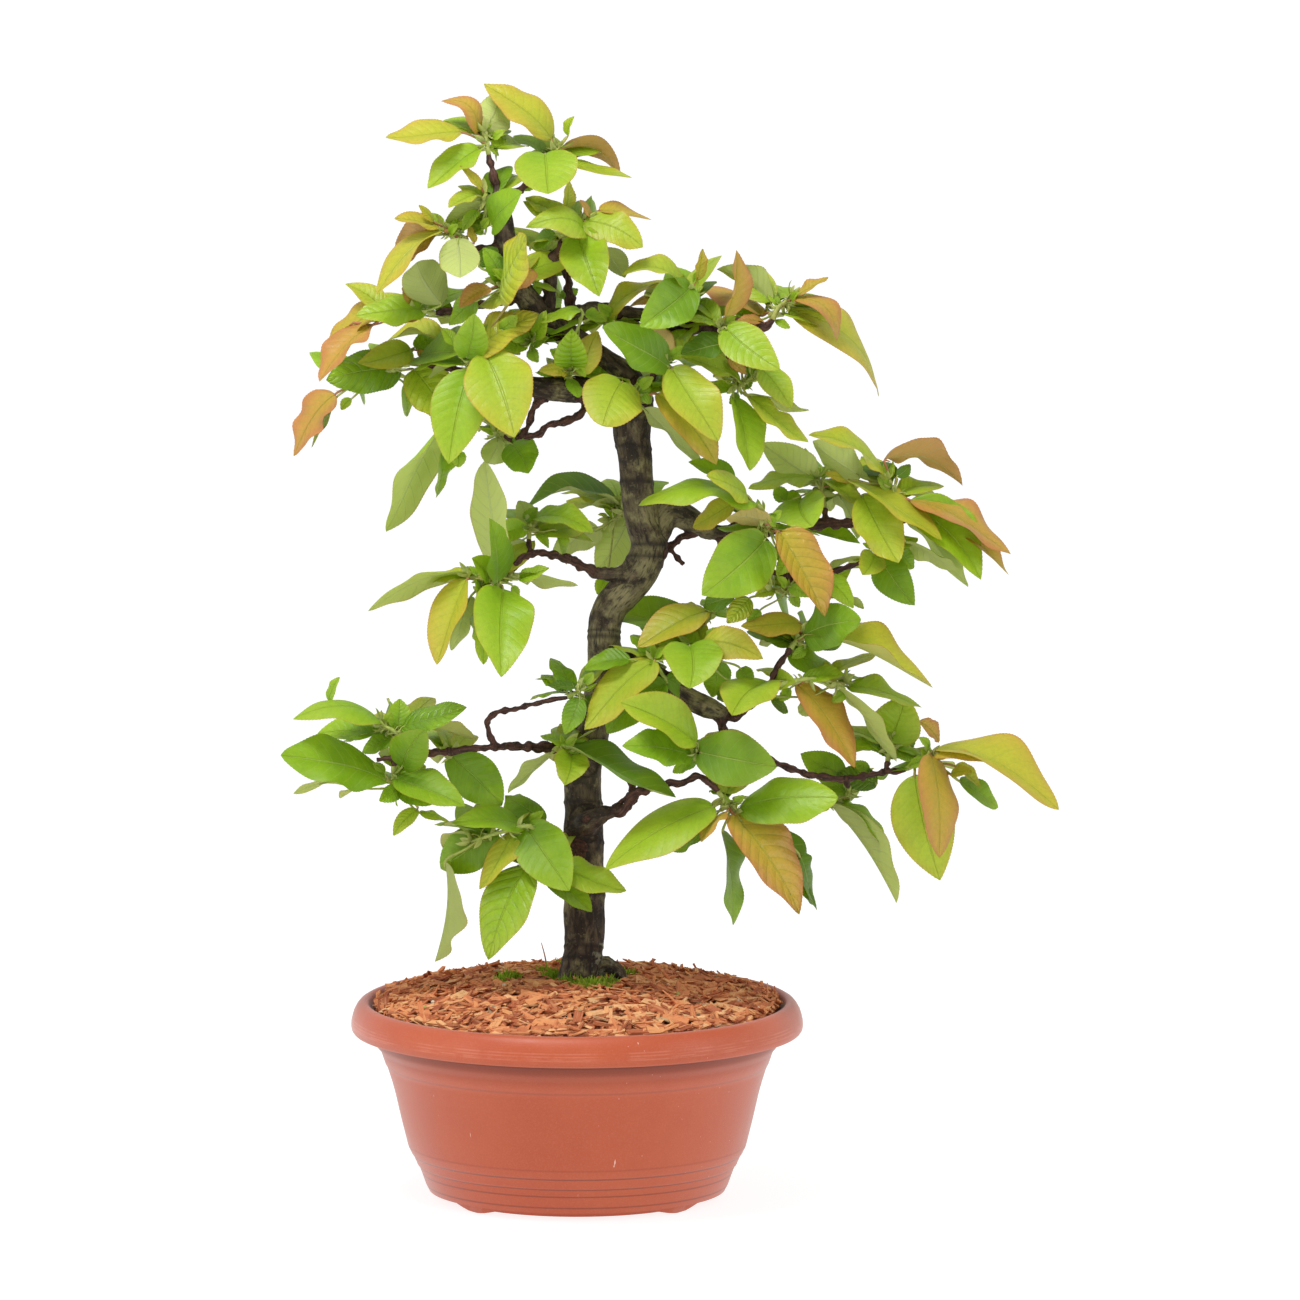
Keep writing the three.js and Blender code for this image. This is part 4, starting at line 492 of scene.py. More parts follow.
            (225, 280, 242, 210, -10, 42, 5, 0, 0.3), (255, 276, 281, 259, 12, 13, 2, 0, 0)],
        "small": [(240, 295, 274, 288, -18, 8, 4, 0, 0.7), (252, 286, 271, 271, 6, 9, 1, 0, 0.4),
            (235, 298, 227, 306, -3, 6, 1, 0, 0.1), (232, 291, 219, 286, 4, 8, 1, 0, 0.1),
            (249, 281, 265, 283, -4, 8, 1, 0, 0.5)],
    },
    "longMiddle": {
        "wood": [(179, 278, -18, 2.4), (181, 273, -12, 1.8)],
        "shoot": [(181, 269, -6), (170, 262, -6)],
        "leaves": [(178, 281, 149, 295, 10, 20, 2, 0, 0), (200, 275, 173, 281, -18, 17, 2, 0, 0, 1),
            (180, 268, 160, 284, 2, 14, 1, 0, 0.05), (169, 260, 213, 195, -6, 13, 4, 1, 0.05),
            (171, 261, 205, 221, -10, 8, 10, 0, 0.1)],
        "small": [(195, 281, 182, 290, -4, 9, 1, 0, 0.05), (182, 265, 173, 257, 3, 6, 1, 0, 0.1)],
    },
    "knobEnd": {
        "wood": "knob",
        "shoot": [(101, 260, -41), (106, 255, -42)],
        "leaves": [(91, 259, 19, 217, -12, 29, 6, 0, 0.15), (108, 257, 174, 265, -10, 31, 5, 0, 0.05),
            (104, 254, 148, 187, -14, 33, 6, 0, 0.85, 1), (97, 242, 104, 180, 6, 13, 3, 0, 0),
            (89, 249, 63, 230, 10, 14, 2, 0, 0), (126, 243, 160, 190, 10, 14, 3, 0, 0)],
        "small": [(100, 256, 81, 233, -18, 9, 2, 0, 0.8), (149, 225, 160, 190, 18, 13, 2, 0, 0),
            (101, 259, 95, 269, 3, 6, 1, 0, 0.1), (105, 261, 112, 267, -2, 6, 1, 0, 0.1),
            (85, 255, 75, 246, 3, 8, 1, 0, 0.05)],
    },
    "returnEnd": {
        "wood": "rightReturn",
        "shoot": [(79, 295, -45)],
        "leaves": [(82, 295, 133, 285, -14, 37, 4, 0, 0.05), (76, 293, 30, 299, -14, 24, 4, 0, 0),
            (80, 301, 29, 328, -10, 27, 4, 0, 0.2)],
        "small": [(82, 298, 90, 306, -3, 6, 1, 0, 0.1), (79, 290, 62, 281, 9, 12, 1, 0, 0)],
    },
    "trunkFront": {
        "wood": [(44, 351, -9, 3.4), (48, 356, -20, 2.1)],
        "shoot": [(52, 357, -29)],
        "leaves": [(52, 356, 5, 310, -12, 27, 5, 0, 0.35), (60, 341, 20, 308, 4, 28, 4, 0, 0),
            (36, 357, 4, 350, 2, 13, 2, 0, 0)],
        "small": [(52, 358, 61, 366, -3, 6, 1, 0, 0.1), (59, 345, 82, 331, 13, 16, 2, 0, 0)],
    },
    "longLeaf": {
        "wood": [(-10, 296, -9, 3), (-9, 300, -18, 1.8)],
        "shoot": [(-8, 299, -26)],
        "leaves": [(-8, 299, 66, 265, -12, 15, 3, 0, 0), (-4, 293, -8, 273, -22, 24, 2, 0, 0.2),
            (-17, 295, -46, 268, 4, 8, 1, 1, 0.05)],
        "small": [(-1, 302, -27, 307, 6, 9, 1, 0, 0.05), (-8, 298, 1, 306, -3, 6, 1, 0, 0.1)],
    },
    "riserEnd": {
        "wood": "leftRiser",
        "shoot": [(2, 336, -33)],
        "leaves": [(2, 331, -8, 307, -8, 15, 2, 0, 0)],
        "small": [(1, 338, -22, 340, -2, 7, 1, 0, 0), (4, 341, 12, 349, 0, 7, 1, 0, 0.1),
            (5, 331, 14, 321, 7, 9, 1, 0, 0)],
    },
    "leftOuter": {
        "wood": [(-119, 293, -32, 2.4), (-120, 300, -32, 1.8)],
        "shoot": [(-120, 307, -31), (-131, 314, -29)],
        "leaves": [(-131, 316, -189, 317, -12, 15, 13, 0, 0.1), (-135, 308, -173, 308, 12, 17, 2, 0, 0.05),
            (-116, 312, -73, 325, -12, 17, 3, 0, 0, 1), (-119, 310, -118, 331, 6, 16, 1, 0, 0.05),
            (-121, 305, -143, 295, 8, 13, 1, 0, 0)],
        "small": [(-98, 311, -65, 303, 8, 9, 2, 1, 0.4), (-165, 329, -157, 347, -5, 7, 1, 0, 0.1),
            (-128, 315, -123, 323, 2, 6, 1, 0, 0.1), (-117, 308, -108, 301, -3, 9, 1, 0, 0.05)],
    },
    "leftOuterLow": {
        "wood": [(-121, 293, -32, 2.2), (-122, 286, -32, 1.8)],
        "shoot": [(-122, 277, -31), (-119, 269, -30)],
        "leaves": [(-128, 277, -197, 293, -12, 31, 5, 0, 0), (-116, 286, -101, 310, -20, 27, 2, 0, 0.05),
            (-121, 278, -74, 259, -16, 23, 4, 0, 0.05), (-118, 270, -94, 261, -12, 14, 1, 0, 0)],
        "small": [(-118, 270, -133, 262, -12, 13, 1, 0, 0), (-106, 257, -124, 238, -4, 12, 2, 0, 0.2),
            (-168, 275, -191, 267, -6, 6, 2, 1, 0.1), (-105, 255, -83, 249, 6, 6, 2, 0, 0.2),
            (-128, 281, -137, 289, -3, 7, 1, 0, 0.1), (-118, 281, -110, 275, 3, 7, 1, 0, 0.1)],
    },
    "leftMatte": {
        "wood": [(-85, 296, -28, 2.6), (-84, 294, -21, 1.8)],
        "shoot": [(-84, 293, -14)],
        "leaves": [(-84, 293, -50, 260, 4, 31, 4, 0, 0)],
        "small": [(-85, 293, -91, 300, -2, 6, 1, 0, 0.1), (-87, 293, -78, 301, 3, 8, 1, 0, 0.05)],
    },
    "lowLeft": {
        "wood": [(2, 234, 0, 3.6), (-19, 233, -13, 2.4), (-26, 238, -19, 2)],
        "shoot": [(-31, 246, -27), (-48, 243, -26), (-70, 236, -19)],
        "leaves": [(-35, 247, -83, 248, -12, 17, 3, 0, 0.05), (-55, 241, -91, 218, 10, 30, 4, 0, 0),
            (-41, 243, -65, 204, -8, 17, 3, 0, 0.4), (-33, 245, -5, 203, -24, 36, 4, 0, 0.05),
            (-21, 250, -48, 267, 10, 16, 2, 0, 0), (-88, 222, -95, 156, 6, 8, 5, 1, 0.1)],
        "small": [(-31, 248, -21, 257, -3, 7, 1, 0, 0.1), (-51, 245, -43, 253, 3, 7, 1, 0, 0.1)],
    },
    "lowFront": {
        "wood": [(-19, 233, -13, 2.2), (-33, 228, -18, 1.8)],
        "shoot": [(-36, 224, -22), (-30, 217, -27), (-22, 213, -28)],
        "leaves": [(-33, 220, -59, 157, -14, 33, 5, 0, 0.1, 1), (-12, 219, 33, 203, -8, 20, 3, 0, 0.15),
            (-21, 211, 10, 189, -4, 17, 2, 0, 0)],
        "small": [(-31, 223, -41, 231, -3, 7, 1, 0, 0.1), (-21, 218, -13, 226, 3, 8, 1, 0, 0.1)],
    },
}


def place(across, up, back):
    """The point that the viewer sees at the given place, at the given depth."""
    y = back * DEPTH_SCALE
    return Vector((across, y, (up - y * math.sin(VIEW_TILT)) / math.cos(VIEW_TILT)))


def drawer(seed):
    """Seeded draws, so that the object comes out the same each time."""
    state = seed

    def draw(low, high):
        nonlocal state
        state = (state * 1664525 + 1013904223) % 4294967296
        return low + (high - low) * state / 4294967296

    return draw


def sheet(bm, columns, rows, shape, look=None, detail=None, finish=0, turned=False):
    """Adds a grid whose vertices are moved to shape(u, v), u and v from 0 to 1 across and along it."""
    first = len(bm.faces)
    verts = bmesh.ops.create_grid(bm, x_segments=columns, y_segments=rows, size=1.0)["verts"]
    flat = np.array([v.co[:2] for v in verts])
    flat = (flat - flat.min(0)) / (flat.max(0) - flat.min(0))
    for vert, point in zip(verts, shape(flat[:, 0], flat[:, 1])):
        vert.co = point
    if look is not None:
        layer = bm.verts.layers.float_color["look"]
        for vert in verts:
            vert[layer] = look
    if detail is not None:
        layer = bm.verts.layers.float_vector["detail"]
        for vert, value in zip(verts, detail(flat[:, 0], flat[:, 1])):
            vert[layer] = value
    bm.faces.ensure_lookup_table()
    added = bm.faces[first:]
    for face in added:
        face.material_index = finish
        face.smooth = True
    if turned:
        bmesh.ops.reverse_faces(bm, faces=added)
    return verts


def reach_along(points):
    """The way along a line to each of its points."""
    return np.concatenate([[0], np.cumsum(np.linalg.norm(np.diff(points, axis=0), axis=1))])


def smooth_path(stations, step):
    """Points with radius about every step along a smooth line through the stations."""
    rows = np.array([[*s[0], s[1]] for s in stations], float)
    t = reach_along(rows[:, :3])
    slopes = np.gradient(rows, t, axis=0)
    x = np.linspace(0, t[-1], max(3, int(t[-1] / step) + 1))
    i = np.clip(np.searchsorted(t, x, side="right") - 1, 0, len(t) - 2)
    h = (t[i + 1] - t[i])[:, None]
    u = ((x - t[i]) / h[:, 0])[:, None]
    return ((2 * u**3 - 3 * u**2 + 1) * rows[i] + (u**3 - 2 * u**2 + u) * h * slopes[i]
            + (3 * u**2 - 2 * u**3) * rows[i + 1] + (u**3 - u**2) * h * slopes[i + 1])


def frames_along(points):
    """The direction of a line at each of its points, and two directions across it that turn little."""
    along = np.gradient(points, axis=0)
    along /= np.linalg.norm(along, axis=1)[:, None]
    side = np.array([0.3, 1.0, 0.1])
    sides = []
    for direction in along:
        side = side - direction * side.dot(direction)
        side = side / np.linalg.norm(side)
        sides.append(side)
    sides = np.array(sides)
    return along, sides, np.cross(along, sides)


def tube(bm, path, sides, look=None, finish=0, ends=(0.5, 0.5)):
    """A closed round rod along points with radius. Its domes are as long as given shares of the radius."""
    along, one, other = frames_along(path[:, :3])
    inset = 0.7
    start, end = path[0, :3], path[-1, :3]
    start_dome = -along[0] * path[0, 3] * ends[0]
    end_dome = along[-1] * path[-1, 3] * ends[1]
    centres = np.array([start + start_dome, start + start_dome * inset, *path[:, :3],
                        end + end_dome * inset, end + end_dome])
    radii = np.array([0.0, path[0, 3] * inset, *path[:, 3], path[-1, 3] * inset, 0.0])
    pick = np.clip(np.arange(len(centres)) - 2, 0, len(path) - 1)
    reach = reach_along(centres)

    def shape(u, v):
        row = np.rint(v * (len(centres) - 1)).astype(int)
        angle = 2 * math.pi * np.rint(u * sides) / sides
        spoke = one[pick[row]] * np.cos(angle)[:, None] + other[pick[row]] * np.sin(angle)[:, None]
        return centres[row] + spoke * radii[row][:, None]

    def detail(u, v):
        row = np.rint(v * (len(centres) - 1)).astype(int)
        return np.stack([np.zeros(len(u)), reach[row] * 0.001, np.full(len(u), 0.001) * reach[-1]], 1)

    sheet(bm, sides, len(centres) - 1, shape, look, detail if look is not None else None, finish)


def start_mesh(layers=True):
    """An empty mesh, with the vertex layers that most finishes read."""
    bm = bmesh.new()
    if layers:
        bm.verts.layers.float_color.new("look")
        bm.verts.layers.float_vector.new("detail")
    return bm


def gather(bm, part):
    """Moves a small mesh under construction into a large one, in which it would be made more slowly."""
    mesh = bpy.data.meshes.new("part")
    part.to_mesh(mesh)
    part.free()
    bm.from_mesh(mesh)
    bpy.data.meshes.remove(mesh)


def finish_piece(bm, name, finishes, slot, replaced=(), merge=2e-4, recalculate=False):
    """Closes seams and poles, turns millimetres to metres and makes the object."""
    bmesh.ops.remove_doubles(bm, verts=bm.verts, dist=merge)
    if recalculate:
        bmesh.ops.recalc_face_normals(bm, faces=bm.faces)
    bm.transform(Matrix.Scale(0.001, 4))
    mesh = bpy.data.meshes.new(name)
    bm.to_mesh(mesh)
    bm.free()
    piece = bpy.data.objects.new(name, mesh)
    bpy.context.scene.collection.objects.link(piece)
    for finish in finishes:
        mesh.materials.append(finish)
    if slot:
        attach(piece, "root")
    if replaced:
        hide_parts(*replaced)
    return piece


def apply_modifiers(piece):
    """Replaces a piece's mesh by the one that its modifiers make."""
    ready = piece.evaluated_get(bpy.context.evaluated_depsgraph_get())
    mesh = bpy.data.meshes.new_from_object(ready)
    piece.modifiers.clear()
    old = piece.data
    piece.data = mesh
    mesh.name = piece.name
    bpy.data.meshes.remove(old)


def tone(red, green, blue):
    """A colour given in the eight-bit numbers of a screen, as the light that a shader takes."""
    parts = [c / 255 for c in (red, green, blue)]
    return [c / 12.92 if c < 0.04045 else ((c + 0.055) / 1.055) ** 2.4 for c in parts] + [1.0]


class Finish:
    """A procedural material under construction. A call adds a node and returns it or its output."""

    def __init__(self, name):
        self.material = bpy.data.materials.new(name)
        self.material.use_nodes = True
        self.tree = self.material.node_tree
        self.tree.nodes.clear()

    def put(self, kind, sockets=None, **settings):
        node = self.tree.nodes.new("ShaderNode" + kind)
        for key, value in settings.items():
            setattr(node, key, value)
        for key, value in (sockets or {}).items():
            if isinstance(value, bpy.types.NodeSocket):
                self.tree.links.new(value, node.inputs[key])
            else:
                node.inputs[key].default_value = value
        return node

    def math(self, operation, a, b=0.0, c=0.0, clamp=False):
        return self.put("Math", {0: a, 1: b, 2: c}, operation=operation, use_clamp=clamp).outputs[0]

    def span(self, value, low, high, start=0.0, end=1.0):
        sockets = {"Value": value, "From Min": low, "From Max": high, "To Min": start, "To Max": end}
        return self.put("MapRange", sockets, interpolation_type="SMOOTHSTEP").outputs[0]

    def mix(self, share, a, b, blend="MIX"):
        return self.put("Mix", {0: share, 6: a, 7: b}, data_type="RGBA", blend_type=blend).outputs[2]

    def ramp(self, share, stops):
        node = self.put("ValToRGB", {"Fac": share})
        elements = node.color_ramp.elements
        while len(elements) < len(stops):
            elements.new(0.5)
        for element, (position, color) in zip(elements, stops):
            element.position = position
            element.color = color
        return node.outputs["Color"]

    def noise(self, place, scale, detail=3.0, roughness=0.55, distortion=0.0):
        sockets = {"Vector": place, "Scale": scale, "Detail": detail, "Roughness": roughness,
                   "Distortion": distortion}
        return self.put("TexNoise", sockets).outputs["Fac"]

    def cells(self, place, scale, feature="F1"):
        return self.put("TexVoronoi", {"Vector": place, "Scale": scale}, feature=feature)

    def stretched(self, place, scale, at=(0, 0, 0)):
        return self.put("Mapping", {"Vector": place, "Location": at, "Scale": scale}).outputs[0]

    def position(self):
        return self.put("TexCoord").outputs["Object"]

    def attribute(self, name):
        return self.put("Attribute", attribute_type="GEOMETRY", attribute_name=name)

    def parts(self, vector):
        node = self.put("SeparateXYZ", {0: vector})
        return node.outputs[0], node.outputs[1], node.outputs[2]

    def bump(self, height, distance, strength=1.0, below=None):
        sockets = {"Height": height, "Distance": distance, "Strength": strength}
        if below is not None:
            sockets["Normal"] = below
        return self.put("Bump", sockets).outputs[0]

    def surface(self, shader):
        self.put("OutputMaterial", {"Surface": shader})
        return self.material

    def principled(self, **sockets):
        return self.put("BsdfPrincipled", {key.replace("_", " "): value for key, value in sockets.items()})

    def lit_through(self, share, skin, glow):
        """The finished material of a thin part, which lets a share of the light through."""
        blend = self.put("MixShader", {0: share, 1: skin.outputs[0], 2: glow.outputs[0]})
        return self.surface(blend.outputs[0])


def vein_ridge(f, side, along, chance):
    """A wave over the blade, from 0 between the side veins to 1 on them."""
    slant = f.math("MULTIPLY_ADD", f.math("POWER", side, 1.3), -0.2, along)
    phase = f.math("FRACT", f.math("MULTIPLY_ADD", slant, 8.5, chance))
    return f.math("ABSOLUTE", f.math("MULTIPLY_ADD", phase, 2.0, -1.0))


def leaf_upper_finish(settings):
    """The upper side: green to bronze by tint, with veins, a coloured margin and a quilted relief."""
    f = Finish("leaf_upper")
    tint, chance, gloss = f.parts(f.attribute("look").outputs["Vector"])
    across, along, _ = f.parts(f.attribute("detail").outputs["Vector"])
    side = f.math("ABSOLUTE", across)
    place_at = f.position()
    patches = f.noise(place_at, 55.0, 3.0)
    edge_turn = f.math("MULTIPLY", f.math("POWER", side, 2.2), 0.34)
    warmth = f.math("MULTIPLY_ADD", edge_turn, f.math("POWER", tint, 0.6), f.math("MULTIPLY", tint, 0.78))
    warmth = f.math("MULTIPLY_ADD", f.math("SUBTRACT", patches, 0.5), 0.2, warmth)
    warmth = f.math("MULTIPLY_ADD", f.math("SUBTRACT", along, 0.35), 0.14, warmth)
    young = f.ramp(warmth, [
        (0.0, tone(*settings.green)), (0.06, tone(150, 190, 36)), (0.14, tone(168, 200, 48)),
        (0.27, tone(186, 204, 62)), (0.44, tone(204, 200, 64)), (0.62, tone(212, 188, 70)),
        (0.8, tone(216, 170, 78)), (1.0, tone(212, 144, 88)),
    ])
    green_share = f.span(tint, 0.0, 0.1, 1.0, 0.0)
    depth = f.math("MULTIPLY", f.span(chance, 0.45, 0.9), green_share)
    base = f.mix(f.math("MULTIPLY", depth, 0.8), young, tone(*settings.deep_green))
    specks = f.span(f.noise(place_at, 420.0, 2.0), 0.3, 0.8)
    base = f.mix(f.math("MULTIPLY", specks, 0.16), base, tone(70, 120, 20))
    ridge = vein_ridge(f, side, along, chance)
    vein = f.math("MULTIPLY", f.span(ridge, 0.84, 0.98), f.span(side, 0.99, 0.75))
    midrib = f.span(side, 0.05, 0.015)
    vein_color = f.mix(green_share, tone(160, 178, 60), tone(182, 202, 108))
    base = f.mix(f.math("MULTIPLY", vein, 0.2), base, vein_color)
    base = f.mix(f.math("MULTIPLY", midrib, f.math("MULTIPLY_ADD", depth, 0.5, 0.28)), base, vein_color)
    hem_share = f.math("MULTIPLY_ADD", f.math("POWER", tint, 0.35), 0.7, 0.05)
    hem = f.math("MULTIPLY", f.span(side, 0.95, 0.99), hem_share)
    base = f.mix(hem, base, tone(*settings.margin))
    net = f.cells(place_at, 900.0, "DISTANCE_TO_EDGE").outputs["Distance"]
    swell = f.math("POWER", f.math("SUBTRACT", 1.0, ridge), 0.5)
    quilt = f.math("MULTIPLY", swell, f.math("MULTIPLY_ADD", gloss, 0.9, 0.35))
    quilt = f.math("MULTIPLY_ADD", net, 0.25, quilt)
    ripple = f.math("MULTIPLY_ADD", gloss, 1.2, 0.3)
    quilt = f.math("MULTIPLY_ADD", f.noise(place_at, 160.0, 2.0), ripple, quilt)
    quilt = f.math("MULTIPLY_ADD", midrib, -0.9, quilt)
    relief = f.bump(quilt, 0.0008, 0.85)
    shine = f.math("MULTIPLY_ADD", gloss, -0.16, f.math("MULTIPLY_ADD", chance, 0.16, 0.32))
    skin = f.principled(Base_Color=base, Roughness=shine, Normal=relief, Specular_IOR_Level=0.5)
    glow = f.put("BsdfTranslucent", {"Color": f.mix(0.4, base, tone(214, 236, 40)), "Normal": relief})
    return f.lit_through(settings.translucency, skin, glow)


def leaf_under_finish(settings):
    """The pale, finely haired underside, on which the veins stand out."""
    f = Finish("leaf_underside")
    tint, chance, _ = f.parts(f.attribute("look").outputs["Vector"])
    across, along, _ = f.parts(f.attribute("detail").outputs["Vector"])
    side = f.math("ABSOLUTE", across)
    place_at = f.position()
    base = f.ramp(tint, [
        (0.0, tone(*settings.underside)), (0.12, tone(226, 230, 144)), (0.4, tone(228, 222, 140)),
        (0.75, tone(224, 190, 122)), (1.0, tone(224, 168, 122)),
    ])
    base = f.mix(f.span(chance, 0.5, 1.0, 0.0, 0.35), base, tone(168, 180, 100))
    ridge = vein_ridge(f, side, along, chance)
    vein = f.span(ridge, 0.8, 0.97)
    midrib = f.span(side, 0.07, 0.02)
    base = f.mix(f.math("MULTIPLY", f.math("MAXIMUM", midrib, f.math("MULTIPLY", vein, 0.5)), 0.5), base,
                 tone(212, 220, 168))
    hem = f.math("MULTIPLY", f.span(side, 0.92, 0.98), f.math("MULTIPLY_ADD", tint, 0.5, 0.25))
    base = f.mix(hem, base, tone(*settings.margin))
    hair = f.noise(place_at, 1500.0, 2.0)
    base = f.mix(f.span(hair, 0.4, 0.75, 0.0, 0.22), base, tone(224, 228, 200))
    veins_height = f.math("MULTIPLY_ADD", midrib, 1.2, f.math("MULTIPLY", vein, 0.5))
    height = f.math("MULTIPLY_ADD", hair, 0.3, veins_height)
    relief = f.bump(height, 0.0005, 0.8)
    skin = f.principled(Base_Color=base, Roughness=0.7, Normal=relief, Specular_IOR_Level=0.25)
    glow = f.put("BsdfTranslucent", {"Color": f.mix(0.4, base, tone(214, 236, 80)), "Normal": relief})
    return f.lit_through(min(settings.translucency + 0.12, 1.0), skin, glow)


def shoot_finish(settings):
    """Green shoots and stalks, brown here and there."""
    f = Finish("green_shoot")
    tint, chance, _ = f.parts(f.attribute("look").outputs["Vector"])
    place_at = f.position()
    ripeness = f.span(f.math("ADD", tint, f.math("MULTIPLY", chance, 0.3)), 0.2, 0.9)
    base = f.mix(ripeness, tone(*settings.petiole), tone(184, 118, 84))
    base = f.mix(f.span(f.noise(place_at, 300.0, 3.0), 0.4, 0.7, 0.0, 0.45), base, tone(112, 132, 60))
    brown = f.span(f.noise(place_at, 90.0), 0.52, 0.66)
    base = f.mix(f.math("MULTIPLY", brown, 0.3), base, tone(150, 96, 66))
    relief = f.bump(f.noise(place_at, 1200.0, 2.0), 0.0003, 0.7)
    skin = f.principled(Base_Color=base, Roughness=0.55, Normal=relief, Specular_IOR_Level=0.35)
    glow = f.put("BsdfTranslucent", {"Color": base})
    return f.lit_through(0.12, skin, glow)


# The middle of the trunk's grey-green stretch, in metres.
LICHEN_BELT = 0.385


def bark_finish(settings):
    """Dark fissured bark with lichen, scars and pale pores, and redder twigs."""
    f = Finish("quince_bark")
    thin, scar, worn = f.parts(f.attribute("look").outputs["Vector"])
    grain = f.attribute("grain").outputs["Vector"]
    place_at = f.position()
    fibre = f.noise(f.stretched(grain, (1.0, 1.0, 0.22)), 700.0, 5.0, 0.62)
    plates = f.noise(f.stretched(grain, (1.0, 1.0, 0.4)), 170.0, 4.0, 0.6, 0.6)
    base = f.ramp(plates, [
        (0.28, tone(30, 23, 19)), (0.46, tone(*settings.bark_dark)), (0.58, tone(*settings.bark)),
        (0.75, tone(108, 96, 74)),
    ])
    base = f.mix(f.span(fibre, 0.5, 0.3, 0.0, 0.7), base, tone(30, 24, 21))
    base = f.mix(f.span(fibre, 0.58, 0.74, 0.0, 0.45), base, tone(134, 120, 102))
    lichen = f.span(f.noise(place_at, 40.0, 5.0, 0.68), 0.5, 0.64)
    lichen = f.math("MULTIPLY", lichen, f.span(thin, 0.35, 0.75, 0.6, 0.0))
    height_at = f.parts(place_at)[2]
    belt = f.span(f.math("ABSOLUTE", f.math("SUBTRACT", height_at, LICHEN_BELT)), 0.13, 0.03, 0.0, 0.6)
    belt = f.math("MULTIPLY", belt, f.span(f.noise(place_at, 90.0, 4.0, 0.6), 0.36, 0.6))
    lichen = f.math("MAXIMUM", lichen, f.math("MULTIPLY", belt, f.span(thin, 0.6, 0.2)))
    base = f.mix(f.math("MULTIPLY", lichen, f.span(fibre, 0.3, 0.55)), base, tone(*settings.lichen))
    base = f.mix(f.math("MULTIPLY", scar, 0.75), base, tone(34, 26, 23))
    twig = f.mix(f.span(fibre, 0.35, 0.7), tone(48, 28, 24), tone(104, 70, 58))
    base = f.mix(f.span(thin, 0.5, 0.9), base, twig)
    crust = f.math("MULTIPLY", worn, f.span(f.noise(place_at, 190.0, 4.0), 0.5, 0.64))
    base = f.mix(crust, base, tone(126, 124, 104))
    pores = f.cells(f.stretched(grain, (1.0, 1.0, 2.6)), 240.0).outputs["Distance"]
    base = f.mix(f.math("MULTIPLY", f.span(pores, 0.16, 0.08), 0.45), base, tone(150, 130, 108))
    fine = f.math("MULTIPLY_ADD", fibre, 0.9, f.math("MULTIPLY", crust, 0.5))
    height = f.math("MULTIPLY_ADD", plates, 1.3, fine)
    relief = f.bump(height, 0.0011, 0.9)
    roughness = f.span(fibre, 0.3, 0.7, 0.62, 0.86)
    skin = f.principled(Base_Color=base, Roughness=roughness, Normal=relief, Specular_IOR_Level=0.32)
    return f.surface(skin.outputs[0])


def chip_finish(settings):
    """Wood chips from dark red to pale and grey, streaked along their fibre, with painted shade on those
    lying low.
    """
    f = Finish("wood_chips")
    hue, light, _ = f.parts(f.attribute("look").outputs["Vector"])
    fibre_at = f.attribute("detail").outputs["Vector"]
    grain = f.noise(f.stretched(fibre_at, (0.12, 1.0, 1.0)), 1500.0, 4.0, 0.6)
    streak = f.noise(f.stretched(fibre_at, (0.06, 1.0, 1.0)), 500.0, 2.0)
    base = f.ramp(hue, [
        (0.0, tone(134, 70, 46)), (0.18, tone(176, 96, 62)), (0.42, tone(*settings.chip)),
        (0.62, tone(224, 154, 100)), (0.8, tone(234, 184, 132)), (0.93, tone(176, 150, 112)),
        (1.0, tone(132, 118, 100)),
    ])
    base = f.mix(f.span(grain, 0.5, 0.3, 0.0, 0.5), base, tone(104, 54, 36))
    base = f.mix(f.span(streak, 0.5, 0.72, 0.0, 0.4), base, tone(226, 172, 122))
    # Painted shade: chips with a low light value, those lying low among the others, are darkened.
    base = f.mix(f.span(light, 0.0, 0.8, 0.4, 0.0), base, tone(58, 32, 22))
    relief = f.bump(grain, 0.0005, 0.9)
    skin = f.principled(Base_Color=base, Roughness=0.82, Normal=relief, Specular_IOR_Level=0.25)
    return f.surface(skin.outputs[0])


def moss_finish(settings):
    """Yellow-green moss, a different green on each spike."""
    f = Finish("moss")
    _, light, chance = f.parts(f.attribute("look").outputs["Vector"])
    base = f.mix(light, tone(130, 176, 30), tone(*settings.moss))
    base = f.mix(f.math("MULTIPLY", chance, 0.3), base, tone(160, 168, 60))
    base = f.mix(f.span(f.noise(f.position(), 700.0, 2.0), 0.4, 0.7, 0.0, 0.35), base, tone(96, 136, 28))
    skin = f.principled(Base_Color=base, Roughness=0.7, Specular_IOR_Level=0.2)
    glow = f.put("BsdfTranslucent", {"Color": base})
    return f.lit_through(0.4, skin, glow)


def crumb_finish():
    """Rough white and buff grains."""
    f = Finish("pale_grains")
    place_at = f.position()
    base = f.mix(f.noise(place_at, 600.0), tone(232, 226, 208), tone(176, 160, 128))
    relief = f.bump(f.noise(place_at, 900.0), 0.0004, 0.8)
    skin = f.principled(Base_Color=base, Roughness=0.75, Normal=relief)
    return f.surface(skin.outputs[0])


